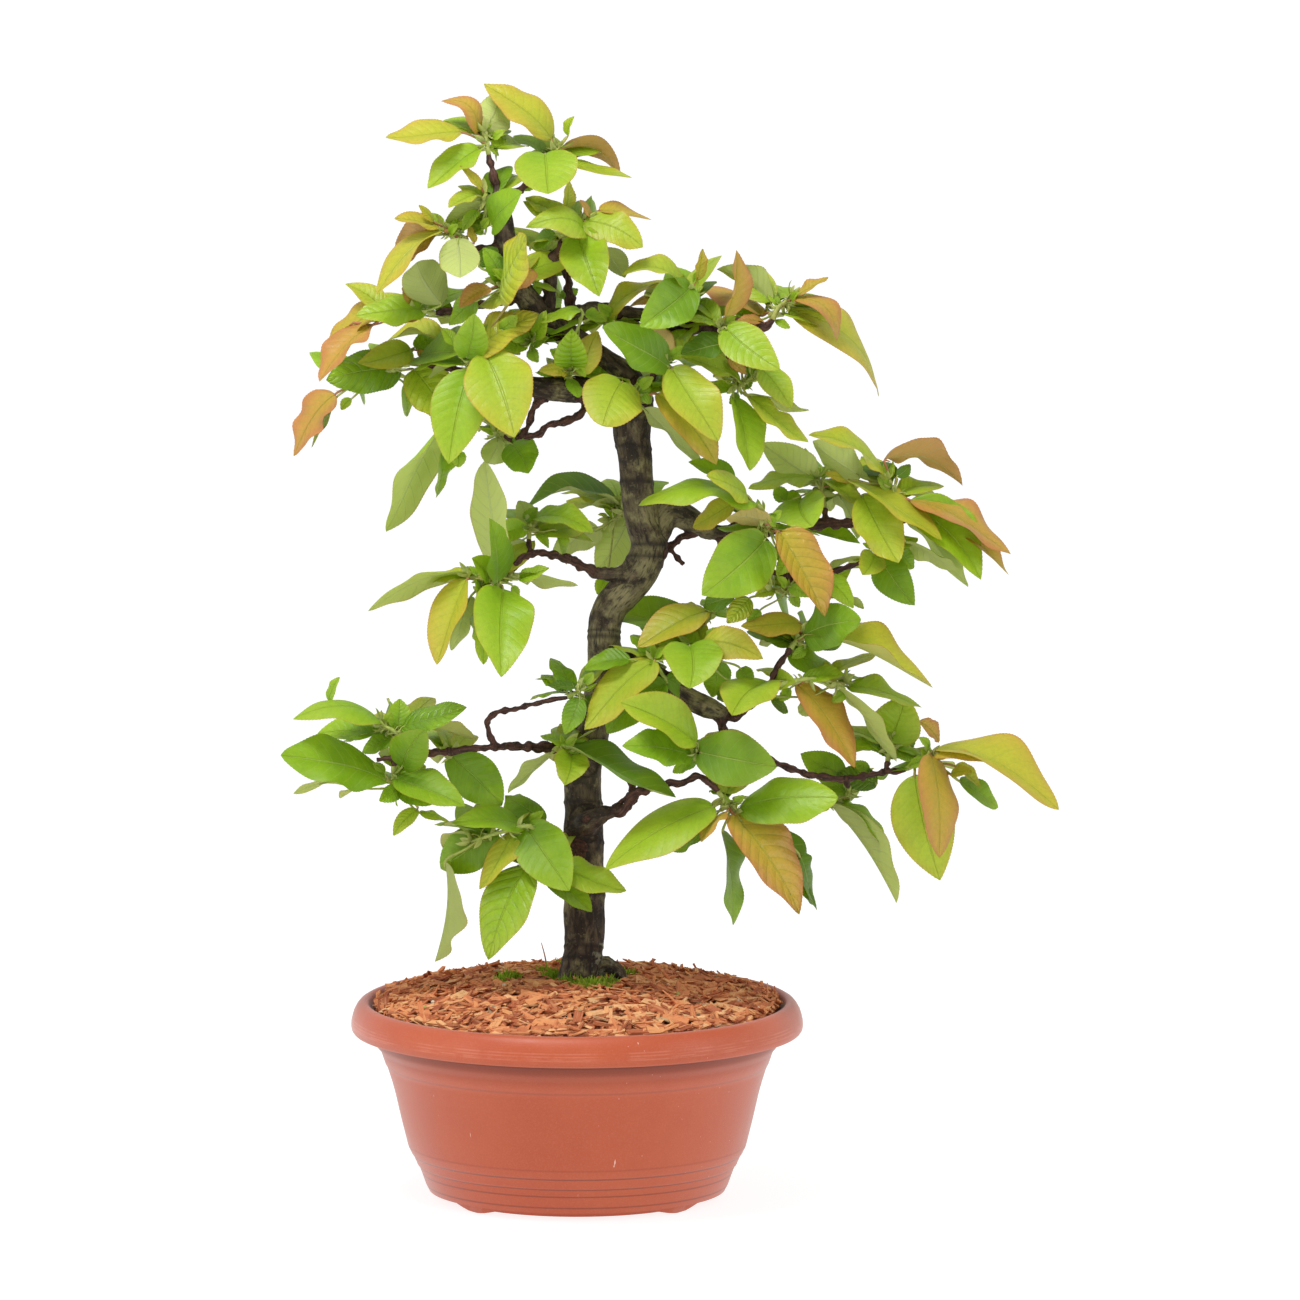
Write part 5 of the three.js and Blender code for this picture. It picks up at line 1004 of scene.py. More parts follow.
def soil_finish():
    """Dark crumbly soil with paler specks."""
    f = Finish("potting_soil")
    place_at = f.position()
    crumbs = f.cells(place_at, 260.0).outputs["Distance"]
    fine = f.noise(place_at, 800.0, 4.0)
    base = f.mix(f.span(crumbs, 0.2, 0.7), tone(52, 36, 27), tone(28, 20, 16))
    base = f.mix(f.span(fine, 0.56, 0.72, 0.0, 0.5), base, tone(112, 88, 66))
    relief = f.bump(f.math("MULTIPLY_ADD", fine, 0.6, crumbs), 0.0015, 0.9)
    skin = f.principled(Base_Color=base, Roughness=0.93, Normal=relief, Specular_IOR_Level=0.2)
    return f.surface(skin.outputs[0])


# Painted shade: dark bands in the hollows round the pot, under its lip and at the steps of its foot, as
# height, half breadth and share, and the heights of the painted highlight lines on its lip. The lip is what
# lies beyond
# LIP_FROM, and the shade bands end at WALL_TO. All are in metres.
POT_SHADOWS = [(0.0092, 0.0009, 0.5), (0.0172, 0.0009, 0.5), (0.0224, 0.0009, 0.55), (0.0299, 0.001, 0.6),
               (0.0362, 0.001, 0.2), (0.0906, 0.0012, 0.25), (0.107, 0.016, 0.3), (0.1095, 0.008, 0.45),
               (0.1113, 0.0032, 0.8)]
LIP_HIGHLIGHT_LINES = [0.1172, 0.1198, 0.1218]
LIP_FROM = (0.1465, 0.149)
WALL_TO = (0.142, 0.1405)


def pot_finish(settings):
    """Matt terracotta plastic with fine turned lines, scuffs, scratches, specks of dust, painted shade in its
    hollows and painted highlight lines on its lip.
    """
    f = Finish("terracotta_plastic")
    place_at = f.position()
    x, y, z = f.parts(place_at)
    mottle = f.noise(place_at, 14.0, 4.0, 0.6)
    base = f.mix(f.span(mottle, 0.35, 0.7), tone(*settings.plastic), tone(184, 84, 48))
    base = f.mix(f.span(f.noise(place_at, 900.0, 2.0), 0.45, 0.7, 0.0, 0.16), base, tone(200, 116, 86))
    rings = f.noise(f.put("CombineXYZ", {2: z}).outputs[0], 900.0, 4.0, 0.7)
    radius = f.math("SQRT", f.math("ADD", f.math("MULTIPLY", x, x), f.math("MULTIPLY", y, y)))
    lip = f.span(radius, *LIP_FROM)
    worn = f.math("MULTIPLY", f.span(rings, 0.5, 0.66), f.span(f.noise(place_at, 60.0, 4.0), 0.42, 0.6))
    base = f.mix(f.math("MULTIPLY", f.math("MULTIPLY", worn, lip), 0.4), base, tone(222, 150, 124))
    # Painted shade: each band darkens the wall at its height, under the lip and below the foot's steps.
    for level, breadth, share in POT_SHADOWS:
        near = f.span(f.math("ABSOLUTE", f.math("SUBTRACT", z, level)), breadth, breadth * 0.2)
        near = f.math("MULTIPLY", near, f.span(radius, *WALL_TO))
        base = f.mix(f.math("MULTIPLY", near, share), base, tone(92, 34, 18))
    # Painted highlight: pale broken lines round the lip.
    for level in LIP_HIGHLIGHT_LINES:
        near = f.span(f.math("ABSOLUTE", f.math("SUBTRACT", z, level)), 0.0008, 0.0001)
        broken = f.span(f.noise(place_at, 45.0, 4.0), 0.36, 0.6)
        near = f.math("MULTIPLY", f.math("MULTIPLY", near, lip), broken)
        base = f.mix(f.math("MULTIPLY", near, 0.2), base, tone(226, 156, 130))
    scratches = f.noise(f.stretched(place_at, (1.0, 1.0, 0.07)), 260.0, 2.0, 0.5, 0.3)
    spots = f.noise(place_at, 22.0, 2.0)
    scratch = f.math("MULTIPLY", f.span(scratches, 0.715, 0.735), f.span(spots, 0.56, 0.62))
    base = f.mix(f.math("MULTIPLY", scratch, 0.75), base, tone(240, 196, 176))
    dust = f.span(f.cells(place_at, 130.0).outputs["Distance"], 0.05, 0.025)
    dust = f.math("MULTIPLY", dust, f.span(f.noise(place_at, 9.0), 0.52, 0.6))
    base = f.mix(f.math("MULTIPLY", dust, 0.6), base, tone(244, 214, 196))
    height = f.math("MULTIPLY_ADD", rings, 0.5, f.math("MULTIPLY", f.noise(place_at, 1400.0, 2.0), 0.6))
    height = f.math("MULTIPLY_ADD", scratch, -0.8, height)
    relief = f.bump(height, 0.00016, 0.7)
    roughness = f.span(mottle, 0.3, 0.7, 0.36, 0.5)
    skin = f.principled(Base_Color=base, Roughness=roughness, Normal=relief, Specular_IOR_Level=0.42,
                        Sheen_Weight=0.34, Sheen_Roughness=0.45)
    return f.surface(skin.outputs[0])


def floor_finish(settings):
    """A mid-grey floor with a glow of its own, so that it comes out white and still shows a soft shadow."""
    f = Finish("studio_floor")
    shade = f.noise(f.position(), 1.3, 2.0)
    base = f.mix(shade, tone(*settings.floor), tone(146, 146, 147))
    skin = f.principled(Base_Color=base, Roughness=0.9, Specular_IOR_Level=0.1,
                        Emission_Color=tone(255, 255, 255), Emission_Strength=0.84)
    return f.surface(skin.outputs[0])


def shoot_stations(spray):
    """The stations of a green shoot: it starts just beyond the end of the wood that carries it."""
    rows = LIMBS[spray["wood"]] if isinstance(spray["wood"], str) else spray["wood"]
    end = place(*rows[-1][:3])
    along = (end - place(*rows[-2][:3])).normalized()
    return [end + along * SHOOT_GAP] + [place(*p) for p in spray["shoot"]]


def point_along(stations, share):
    """The point that lies a share of the way along a line."""
    lengths = [(b - a).length for a, b in zip(stations, stations[1:])]
    target = share * sum(lengths)
    for a, b, length in zip(stations, stations[1:], lengths):
        if target <= length:
            return a.lerp(b, target / length)
        target -= length
    return stations[-1].copy()


def roots_on(stations, feet):
    """Where the leaves spring from: evenly along the shoot's outer part, in the order of their feet."""

    def seen_from(at, foot):
        seen = at - foot
        return (seen - TO_VIEWER * seen.dot(TO_VIEWER)).length

    ladder = [point_along(stations, i / 20) for i in range(21)]
    nearest = []
    for foot in feet:
        best = 20
        for i, at in enumerate(ladder):
            if seen_from(at, foot) < seen_from(ladder[best], foot):
                best = i
        nearest.append(best)
    roots = [None] * len(feet)
    for i, leaf_index in enumerate(sorted(range(len(feet)), key=lambda k: (nearest[k], k))):
        share = i / (len(feet) - 1) if len(feet) > 1 else 1
        roots[leaf_index] = point_along(stations, ROOT_SPREAD[0] + (ROOT_SPREAD[1] - ROOT_SPREAD[0]) * share)
    return roots


def foot_and_tip(stations, row, nudge, scale):
    """The ends of a leaf's blade, with its depth changed by the nudge and its length by the scale."""
    across, up, tip_across, tip_up, tip_back = row[:5]
    back = stations[-1].y / DEPTH_SCALE + FOOT_FOLLOWS * (tip_back + nudge)
    foot = place(across, up, back)
    tip = foot + (place(tip_across, tip_up, back + tip_back + nudge) - foot) * scale
    return foot, tip


def back_rows(shoot, count, draw):
    """Rows for the leaves on the side away from the viewer."""
    across, up = shoot[-1][:2]
    rows = []
    for i in range(count):
        side = -1 if i % 2 else 1
        length = draw(40, 56)
        foot = (across + side * draw(1, 3), up + draw(0, 2))
        tip = (across + side * draw(4, 12), up - draw(-4, 10), length / DEPTH_SCALE)
        width, arch = draw(16, 22), draw(3, 7)
        rows.append((*foot, *tip, width, arch, 0, 0.06))
    return rows


def blade_axes(foot, tip, width, under):
    """Length, directions and full width of a blade that shows the viewer the given width."""
    chord = tip - foot
    length = chord.length
    along = chord.normalized()
    facing = (TO_VIEWER - along * TO_VIEWER.dot(along)).normalized()
    skyward = along.cross(facing)
    if skyward.z + 0.2 * skyward.x < 0:
        skyward.negate()
    full = max(width, LEAF_SHAPE * length)
    roll = math.acos(min(width / full, 1))
    turn = math.pi - roll if under else roll
    normal = (facing * math.cos(turn) + skyward * math.sin(turn)).normalized()
    return length, along, along.cross(normal), normal, full


def blade(bm, settings, foot, axes, arch, look, draw, finishes=(UPPER, UNDER), teeth=True):
    """One leaf blade: two grids that meet in a toothed margin, folded along the midrib, waved and curved."""
    length, along, across, normal, full = axes
    step = max(settings.tooth_length / 2, length / 90)
    rows = max(6, 2 * round(length / step / 2)) if teeth else max(6, round(length / 3.5))
    columns = 4 if full < 12 else 6 if full < 30 else 8
    fullness, taper = draw(0.5, 0.68), draw(0.78, 0.96)
    if full > 0.8 * length:
        fullness, taper = draw(0.4, 0.5), draw(0.62, 0.76)
    lobe = draw(0.05, 0.09) if full > 0.62 * length else draw(0.0, 0.03)
    widest = fullness / (fullness + taper)
    top = widest**fullness * (1 - widest) ** taper
    fold, droop = draw(0.14, 0.56), draw(-0.36, 0.0)
    bend, wave, turns, start = draw(-0.06, 0.06), draw(0.04, 0.14), draw(1.0, 2.2), draw(0, 6.3)
    curl, twist = draw(-0.02, 0.2), draw(-0.36, 0.36)
    lean = settings.tooth_length * 0.3 / length
    foot, along, across, normal = (np.array(v) for v in (foot, along, across, normal))

    def point(u, v, skin):
        a = 2 * u - 1
        edge = np.abs(a) > 0.999
        row = np.rint(v * rows)
        tooth = np.where(edge & (row % 2 == 1) & (v > 0.12) & (v < 0.97), 1.0, 0.0) if teeth else 0 * a
        s = np.clip(v + tooth * lean, 0, 1)
        spread = np.maximum(s, 0) ** fullness * np.maximum(1 - s, 0) ** taper / top
        half = full / 2 * spread + tooth * settings.tooth_depth
        hump = 4 * s * (1 - s)
        lift = half * (fold * np.abs(a) + droop * a * a + wave * np.sin(turns * WAVE_RATE * s + start) * a * a
                       + wave * 0.6 * np.cos(turns * RUFFLE_RATE * s + start) * a * np.abs(a))
        lift = lift + twist * half * a * (s - 0.45) + arch * hump - curl * length * s * s * (1 - s) * 2
        thick = skin * settings.thickness * (1 - a * a) * np.minimum(1, 6 * s)
        thick = thick * np.minimum(1, 5 * (1 - s)) / 2
        out = half * a + bend * length * hump
        s = s - lobe * np.abs(a) * np.exp(-(((s - 0.05) / 0.08) ** 2))
        spot = foot + along * (length * s)[:, None] + across * out[:, None]
        return spot + normal * (lift + thick)[:, None]

    def detail(u, v):
        return np.stack([2 * u - 1, v, np.full(len(u), length / 1000)], 1)

    sheet(bm, columns, rows, lambda u, v: point(u, v, 1), look, detail, finishes[0])
    sheet(bm, columns, rows, lambda u, v: point(u, v, -1), look, detail, finishes[1], turned=True)


def petiole(bm, root, foot, along, radius, look, draw):
    """The stalk from the shoot to the blade, a little sagging, which runs on under the blade's foot."""
    reach = (foot - root).length
    sag = Vector((draw(-0.06, 0.06), draw(-0.06, 0.06), draw(-0.1, 0.04))) * reach
    aim = root + (foot - root) * 0.5 + sag
    inner = foot + along * min(4.0, 0.5 * reach + 1)
    stations = [(root, radius * 1.25), (aim, radius * 0.95), (foot, radius), (inner, radius * 0.35)]
    path = smooth_path([(np.array(p), r) for p, r in stations], max(1.6, reach / 9))
    tube(bm, path, 6, look, STALK)


def bracts(bm, settings, at, along, count, size, look, draw):
    """Small leaflets without teeth round a node or at a shoot's end."""
    for i in range(count):
        angle = 2 * math.pi * (i + draw(-0.3, 0.3)) / count
        side = along.orthogonal().normalized()
        side.rotate(Matrix.Rotation(angle, 3, along))
        opened = draw(0.35, 1.0)
        aim = (along * math.cos(opened) + side * math.sin(opened)).normalized()
        length = size * draw(0.7, 1.25)
        normal = (along - aim * along.dot(aim)).normalized()
        full = length * draw(0.34, 0.5)
        axes = (length, aim, aim.cross(normal), normal, full)
        sides = (UNDER, UNDER) if draw(0, 1) < 0.5 else (UPPER, UNDER)
        blade(bm, settings, at + aim * 0.4, axes, -0.12 * length, look, draw, sides, teeth=False)


def tips_of(node):
    """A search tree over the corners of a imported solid, in millimetres."""
    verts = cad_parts[node].data.vertices
    tree = kdtree.KDTree(len(verts))
    for i, vert in enumerate(verts):
        tree.insert(vert.co * 1000, i)
    tree.balance()
    return tree


def settled(stations, row, corners):
    """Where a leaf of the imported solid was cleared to: its foot, tip and scale, or None."""
    for scale in SCALES:
        for nudge in NUDGES:
            foot, tip = foot_and_tip(stations, row, nudge, scale)
            if corners.find(tip)[2] < TIP_FOUND:
                return foot, tip, scale
    return None


def unsettled(stations, row):
    """Foot, tip and scale of a leaf that isn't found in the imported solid."""
    return *foot_and_tip(stations, row, 0, SCENE_SCALE), SCENE_SCALE


def stem_path(stations):
    """The line of a green shoot, which thins towards its end and swells a little at its nodes."""
    last = len(stations) - 1
    stem = [(np.array(p), SHOOT_RADIUS - SHOOT_TAPER * i / last) for i, p in enumerate(stations)]
    path = smooth_path(stem, 2.2)
    path[:, 3] *= 1 + 0.12 * np.sin(np.arange(len(path)) * 1.9)
    return path


def grow_leaf(bm, settings, row, root, placed, draw):
    """A leaf of the table with its petiole and the two stipules at its root."""
    width, arch, under, tint = row[5:9]
    gloss = 1 if row[9:] else 0
    foot, tip, scale = placed
    look = (tint, draw(0, 1), gloss, 1)
    axes = blade_axes(foot, tip, width * scale, under)
    blade(bm, settings, foot, axes, arch * scale, look, draw)
    petiole(bm, root, foot, axes[1], 0.62 + 0.004 * axes[0], (tint, draw(0, 1), 0, 1), draw)
    heading = (foot - root).normalized() if (foot - root).length > 1 else Vector((0, 0, 1))
    bracts(bm, settings, root, heading, 2, settings.bract_length, (0.12, draw(0, 1), 0, 1), draw)


def grow_filling_leaf(bm, settings, stations, draw):
    """An invented leaf without teeth, turned away from the viewer."""
    root = point_along(stations, draw(0.15, 0.9))
    turn, rise = draw(0.15, 0.85) * math.pi, draw(-0.45, 0.5)
    heading = Vector((math.cos(turn) * math.cos(rise), math.sin(turn) * math.cos(rise), math.sin(rise)))
    length = draw(26, 48)
    foot = root + heading * draw(4, 9)
    up = Vector((draw(-0.4, 0.4), draw(-0.5, 0.1), 1.0))
    normal = (up - heading * up.dot(heading)).normalized()
    look = (draw(0.0, 0.35), draw(0, 0.75), 0, 1)
    axes = (length, heading, heading.cross(normal), normal, length * draw(0.42, 0.62))
    blade(bm, settings, foot, axes, draw(2, 5), look, draw, teeth=False)
    petiole(bm, root, foot, heading, 0.7, look, draw)


def build_spray(name, order, back_draw, settings, finishes):
    """A green shoot with its leaves, filling leaves and stipules."""
    spray = SPRAYS[name]
    stations = shoot_stations(spray)
    rows = list(spray["leaves"]) + back_rows(spray["shoot"], 0 if order % 2 else 1, back_draw)
    small = spray.get("small", [])
    draw = drawer(1000 + 37 * order)
    corners = tips_of("leaves_" + name)
    roots = roots_on(stations, [foot_and_tip(stations, row, 0, 1)[0] for row in rows])
    bm = start_mesh()
    tube(bm, stem_path(stations), 8, (SHOOT_TINT, draw(0, 1), 0, 1), STALK)
    small_roots = [point_along(stations, draw(0.35, 0.95)) for _ in small]
    for row, root in zip(rows, roots):
        grow_leaf(bm, settings, row, root, settled(stations, row, corners) or unsettled(stations, row), draw)
    for row, root in zip(small, small_roots):
        grow_leaf(bm, settings, row, root, unsettled(stations, row), draw)
    for _ in range(settings.fill_leaves):
        grow_filling_leaf(bm, settings, stations, draw)
    end_way = (stations[-1] - stations[-2]).normalized()
    end_way = (end_way + Vector((0, 0, 0.6))).normalized()
    look = (SHOOT_TINT, draw(0, 1), 0, 1)
    bracts(bm, settings, stations[-1], end_way, 6, settings.bract_length * 1.3, look, draw)
    piece = finish_piece(bm, "spray_" + name, finishes, "leaf", ["leaves_" + name])
    piece.data.set_sharp_from_angle(angle=math.radians(75))
    return piece


# Ring scars round the trunk: height as seen, and spread.
RING_SCARS = [(158, 2.0), (166, 1.2), (201, 2.2), (236, 1.6), (262, 1.3), (303, 1.4), (372, 1.8), (376, 1.0),
              (425, 1.6), (433, 1.8), (475, 1.8), (498, 1.4), (516, 1.6)]


def wood_lines():
    """The stations of the trunk, the limbs and the spurs that carry the shoots."""
    lines = [TRUNK] + list(LIMBS.values())
    lines += [spray["wood"] for spray in SPRAYS.values() if not isinstance(spray["wood"], str)]
    return lines


def wood_skeleton(bm):
    """Adds a rod for each line of wood, and describes the lines at all their points.

    The arrays are points, radii, the directions along and across, the way along and the line's number.
    """
    columns = [[] for _ in range(7)]
    for number, rows in enumerate(wood_lines()):
        stations = [(np.array(place(*row[:3])), row[3]) for row in rows]
        path = smooth_path(stations, 2.0)
        tube(bm, path, 20 if path[:, 3].max() > 7 else 12, ends=(0.6, 0.35))
        reach = reach_along(path[:, :3]) + 137.0 * number
        described = (path[:, :3], path[:, 3], *frames_along(path[:, :3]), reach, np.full(len(path), number))
        for column, values in zip(columns, described):
            column.append(values)
    return [np.concatenate(column) for column in columns]


def nearest_of(points, radii, places):
    """For each place, the number of the point of the skeleton whose rod it lies on."""
    tree = kdtree.KDTree(len(points))
    for i, point in enumerate(points):
        tree.insert(point, i)
    tree.balance()
    return np.array([min(tree.find_n(v, 6), key=lambda hit: hit[2] - radii[hit[1]])[1] for v in places])


def bark_relief(grain, thick, slim, scars, on_root):
    """How far the bark stands out, in millimetres: lumps and ridges on stout wood, knots on slim twigs."""
    lumps = np.array([noise.fractal(Vector(g * (0.045, 0.045, 0.03)), 1.0, 2.0, 3) for g in grain])
    ridges = np.array([noise.fractal(Vector(g * (0.42, 0.42, 0.09)), 1.0, 2.2, 3) for g in grain])
    knots = np.array([noise.noise(Vector((g[0] * 0.15, g[1] * 0.15, g[2] * 0.22))) for g in grain])
    push = (1 - slim) * (0.08 * thick * lumps + 0.42 * ridges + 0.6 * scars)
    push[on_root] += 1.5 * ridges[on_root] + 1.2 * knots[on_root] - 0.8
    push += slim * thick * (0.8 * knots + 0.1 * lumps + 0.14 * ridges)
    return np.clip(push, -0.3 * thick, 1.2)


def build_wood(settings, finish):
    """The trunk, branches and twigs: rods joined by one skin, into which the relief of the bark is pushed."""
    bm = start_mesh(False)
    points, radii, alongs, ones, others, reaches, numbers = wood_skeleton(bm)
    piece = finish_piece(bm, "wood", [finish], "bark", ["trunk_and_branches"])
    remesh = piece.modifiers.new("Skin", "REMESH")
    remesh.mode = "VOXEL"
    remesh.voxel_size = settings.skin_step
    apply_modifiers(piece)
    mesh = piece.data
    count = len(mesh.vertices)
    at = np.empty(count * 3, np.float32)
    mesh.vertices.foreach_get("co", at)
    at = at.reshape(-1, 3).astype(float) * 1000
    near = nearest_of(points, radii, at)
    away = at - points[near]
    ahead = (away * alongs[near]).sum(1)
    spoke = away - alongs[near] * ahead[:, None]
    grain = np.stack([(spoke * ones[near]).sum(1), (spoke * others[near]).sum(1), reaches[near] + ahead], 1)
    outward = spoke / np.maximum(np.linalg.norm(spoke, axis=1), 1e-3)[:, None]
    height = at[:, 2] * math.cos(VIEW_TILT) + at[:, 1] * math.sin(VIEW_TILT)
    scars = np.zeros(count)
    for level, spread in RING_SCARS:
        scars += np.exp(-(((height + 0.12 * grain[:, 0] - level) / spread) ** 2))
    scars *= (numbers[near] == TRUNK_NUMBER)
    on_root = numbers[near] == ROOT_NUMBER
    slim = np.clip((6.5 - radii[near]) / 3.5, 0, 1)
    at += outward * bark_relief(grain, radii[near], slim, scars, on_root)[:, None]
    mesh.vertices.foreach_set("co", (at / 1000).astype(np.float32).ravel())
    grain_layer = mesh.attributes.new("grain", "FLOAT_VECTOR", "POINT")
    grain_layer.data.foreach_set("vector", (grain / 1000).astype(np.float32).ravel())
    look = np.ones((count, 4), np.float32)
    look[:, 0] = slim
    look[:, 1] = np.clip(scars, 0, 1)
    trunk_foot = (at[:, 2] < 172) & (at[:, 0] > 10)
    look[:, 2] = np.where(on_root | trunk_foot, 1, 0)
    look_layer = mesh.attributes.new("look", "FLOAT_COLOR", "POINT")
    look_layer.data.foreach_set("color", look.ravel())
    for polygon in mesh.polygons:
        polygon.use_smooth = True
    mesh.update()
    return piece


def open_foot(bm):
    """Opens the gaps in the pot's foot ring."""
    part_turn = 2 * math.pi / GAP_COUNT
    for vert in bm.verts:
        radius = math.hypot(vert.co.x, vert.co.y)
        if vert.co.z < GAP_HEIGHT and FOOT_RADIUS - FOOT_WIDTH - 0.1 < radius < FOOT_RADIUS + 1.5:
            angle = (math.atan2(vert.co.y, vert.co.x) + part_turn / 2) % part_turn - part_turn / 2
            sideways = abs(radius * math.sin(angle))
            opened = min(max((GAP_WIDTH / 2 + GAP_FLARE / 2 - sideways) / GAP_FLARE, 0), 1)
            vert.co.z = max(vert.co.z, GAP_HEIGHT * opened)


def drain_rods():
    """Rods where the drain holes are cut."""
    bm = bmesh.new()
    for i in range(DRAIN_COUNT):
        angle = 2 * math.pi * (i + 0.5) / DRAIN_COUNT
        move = Matrix.Translation((DRAIN_CIRCLE * math.cos(angle), DRAIN_CIRCLE * math.sin(angle), 2))
        bmesh.ops.create_cone(bm, cap_ends=True, segments=24, radius1=DRAIN_RADIUS, radius2=DRAIN_RADIUS,
                              depth=12, matrix=move)
    return finish_piece(bm, "drain_cutter", [], None)


def build_pot(settings, finish):
    """The pot, turned from its outline, with gaps in its foot and drain holes."""
    bm = start_mesh(False)
    verts = [bm.verts.new((radius, 0, height)) for radius, height in POT_OUTLINE]
    edges = [bm.edges.new(pair) for pair in zip(verts, verts[1:])]
    bmesh.ops.spin(bm, geom=verts + edges, cent=(0, 0, 0), axis=(0, 0, 1), dvec=(0, 0, 0),
                   angle=2 * math.pi, steps=settings.pot_sides, use_merge=True, use_duplicate=False)
    bmesh.ops.remove_doubles(bm, verts=bm.verts, dist=1e-3)
    open_foot(bm)
    for face in bm.faces:
        face.smooth = True
    pot = finish_piece(bm, "pot_body", [finish], "pot", ["pot"], recalculate=True)
    cutter = drain_rods()
    cut = pot.modifiers.new("Drains", "BOOLEAN")
    cut.operation = "DIFFERENCE"
    cut.solver = "EXACT"
    cut.object = cutter
    apply_modifiers(pot)
    bpy.data.objects.remove(cutter)
    pot.data.set_sharp_from_angle(angle=math.radians(50))
    return pot


def mound_height(radius):
    """The height of the mulch's surface over a radius, or over each radius of an array."""
    return np.interp(radius, *zip(*MOUND))


def build_bed(bm):
    """The dark uneven bed that shows between the chips, painted with the chips' deepest shade."""
    # Painted shade: a light value of 0 gives the bed the darkest shade of the chip finish.
    look = (0.05, 0.0, 0.5, 1)

    def level(radius, angle):
        x, y = radius * np.cos(angle), radius * np.sin(angle)
        rough = np.array([noise.noise(Vector((a * 0.09, b * 0.09, 0))) for a, b in zip(x, y)])
        return mound_height(radius) - BED_SINK + BED_ROUGHNESS * rough

    def top(u, v):
        radius = BED_RADIUS * v
        angle = 2 * math.pi * u
        return np.stack([radius * np.cos(angle), radius * np.sin(angle), level(radius, angle)], 1)

    def skirt(u, v):
        angle = 2 * math.pi * u
        radius = np.where(v > 0.75, 0, np.where(v > 0.25, BED_FOOT_RADIUS, BED_RADIUS))
        height = np.where(v > 0.25, MULCH_FOOT, level(BED_RADIUS, angle))
        return np.stack([radius * np.cos(angle), radius * np.sin(angle), height], 1)

    def fibre(u, v):
        return np.stack([u * 0.8, v * 0.13, v * 0], 1)

    sheet(bm, 96, 40, top, look, fibre, turned=True)
    sheet(bm, 96, 3, skirt, look, fibre, turned=True)


def lay_chip(part, large, draw):
    """A flake or a splinter: a block with one end pointed, skewed and roughened at its corners."""
    length = draw(12, 27) if large else draw(4.5, 15)
    width = draw(3.5, 9.5) if large else draw(1.2, 4.0)
    thickness = draw(0.7, 2.0) if large else draw(0.5, 1.3)
    radius = CHIP_REACH * math.sqrt(draw(0.008, 1))
    angle = draw(0, 2 * math.pi)
    yaw = draw(0, math.pi)
    if radius + length / 2 > CHIP_EDGE:
        radius = min(radius, CHIP_EDGE - 0.5 - width / 2)
        yaw = angle + math.pi / 2 + draw(-0.3, 0.3)
        length = min(length, 14)
    drop = mound_height(radius - CHIP_SLOPE_STEP) - mound_height(radius + CHIP_SLOPE_STEP)
    slope = drop / (2 * CHIP_SLOPE_STEP)
    lift = draw(-2.8, 0.8) if large else draw(-2.6, 1.9)
    tilt = draw(-0.22, 0.22) if large else draw(-0.55, 0.55)
    lift += 2.2 * min(max((radius - 112) / 20, 0), 1)
    x, y = radius * math.cos(angle), radius * math.sin(angle)
    if math.hypot(x - 1, y) < TRUNK_CLEARANCE:
        return
    turn = (Matrix.Translation((x, y, mound_height(radius) + lift))
            @ Matrix.Rotation(math.atan(slope), 4, Vector((-math.sin(angle), math.cos(angle), 0)))
            @ Matrix.Rotation(yaw, 4, "Z") @ Matrix.Rotation(tilt, 4, "Y")
            @ Matrix.Rotation(draw(-0.5, 0.5), 4, "X"))
    hue = min(max(draw(0.05, 0.75) + (draw(0.1, 0.3) if draw(0, 1) > 0.86 else 0), 0), 1)
    # The look's second value is painted shade: the lower a chip lies, the darker the chip finish paints it.
    look = (hue, min(0.3 + 0.16 * (lift + 2.8) + draw(-0.1, 0.3), 1.0), draw(0, 1), 1)
    pointed = draw(0.25, 1.0)
    skew = draw(-0.35, 0.35)
    origin = Vector((draw(0, 9), draw(0, 9), draw(0, 9)))
    look_layer = part.verts.layers.float_color["look"]
    detail_layer = part.verts.layers.float_vector["detail"]
    for vert in bmesh.ops.create_cube(part, size=1.0)["verts"]:
        end = pointed if vert.co.x > 0 else 1.0
        local = Vector((vert.co.x * length * draw(0.82, 1.12) + vert.co.y * width * skew,
                        vert.co.y * width * end * draw(0.7, 1.25), vert.co.z * thickness * draw(0.5, 1.4)))
        vert[look_layer] = look
        vert[detail_layer] = local * 0.001 + origin
        vert.co = turn @ local


def build_mulch(settings, finish):
    """The chips: a dark uneven bed, then large flakes and small splinters laid over each other."""
    bm = start_mesh()
    build_bed(bm)
    draw = drawer(51)
    for first in range(0, settings.chip_count, BATCH):
        part = start_mesh()
        for i in range(first, min(first + BATCH, settings.chip_count)):
            lay_chip(part, i < settings.chip_count * LARGE_SHARE, draw)
        gather(bm, part)
    return finish_piece(bm, "bark_chips", [finish], "mulch", ["bark_chip_mulch"])


def surface_point(across, up):
    """The point on the mound that the viewer sees at the given place."""
    y = 0.0
    for _ in range(12):
        z = mound_height(math.hypot(across, y))
        y = (up - z * math.cos(VIEW_TILT)) / math.sin(VIEW_TILT)
        y = max(-130.0, min(130.0, y))
    return Vector((across, y, mound_height(math.hypot(across, y))))


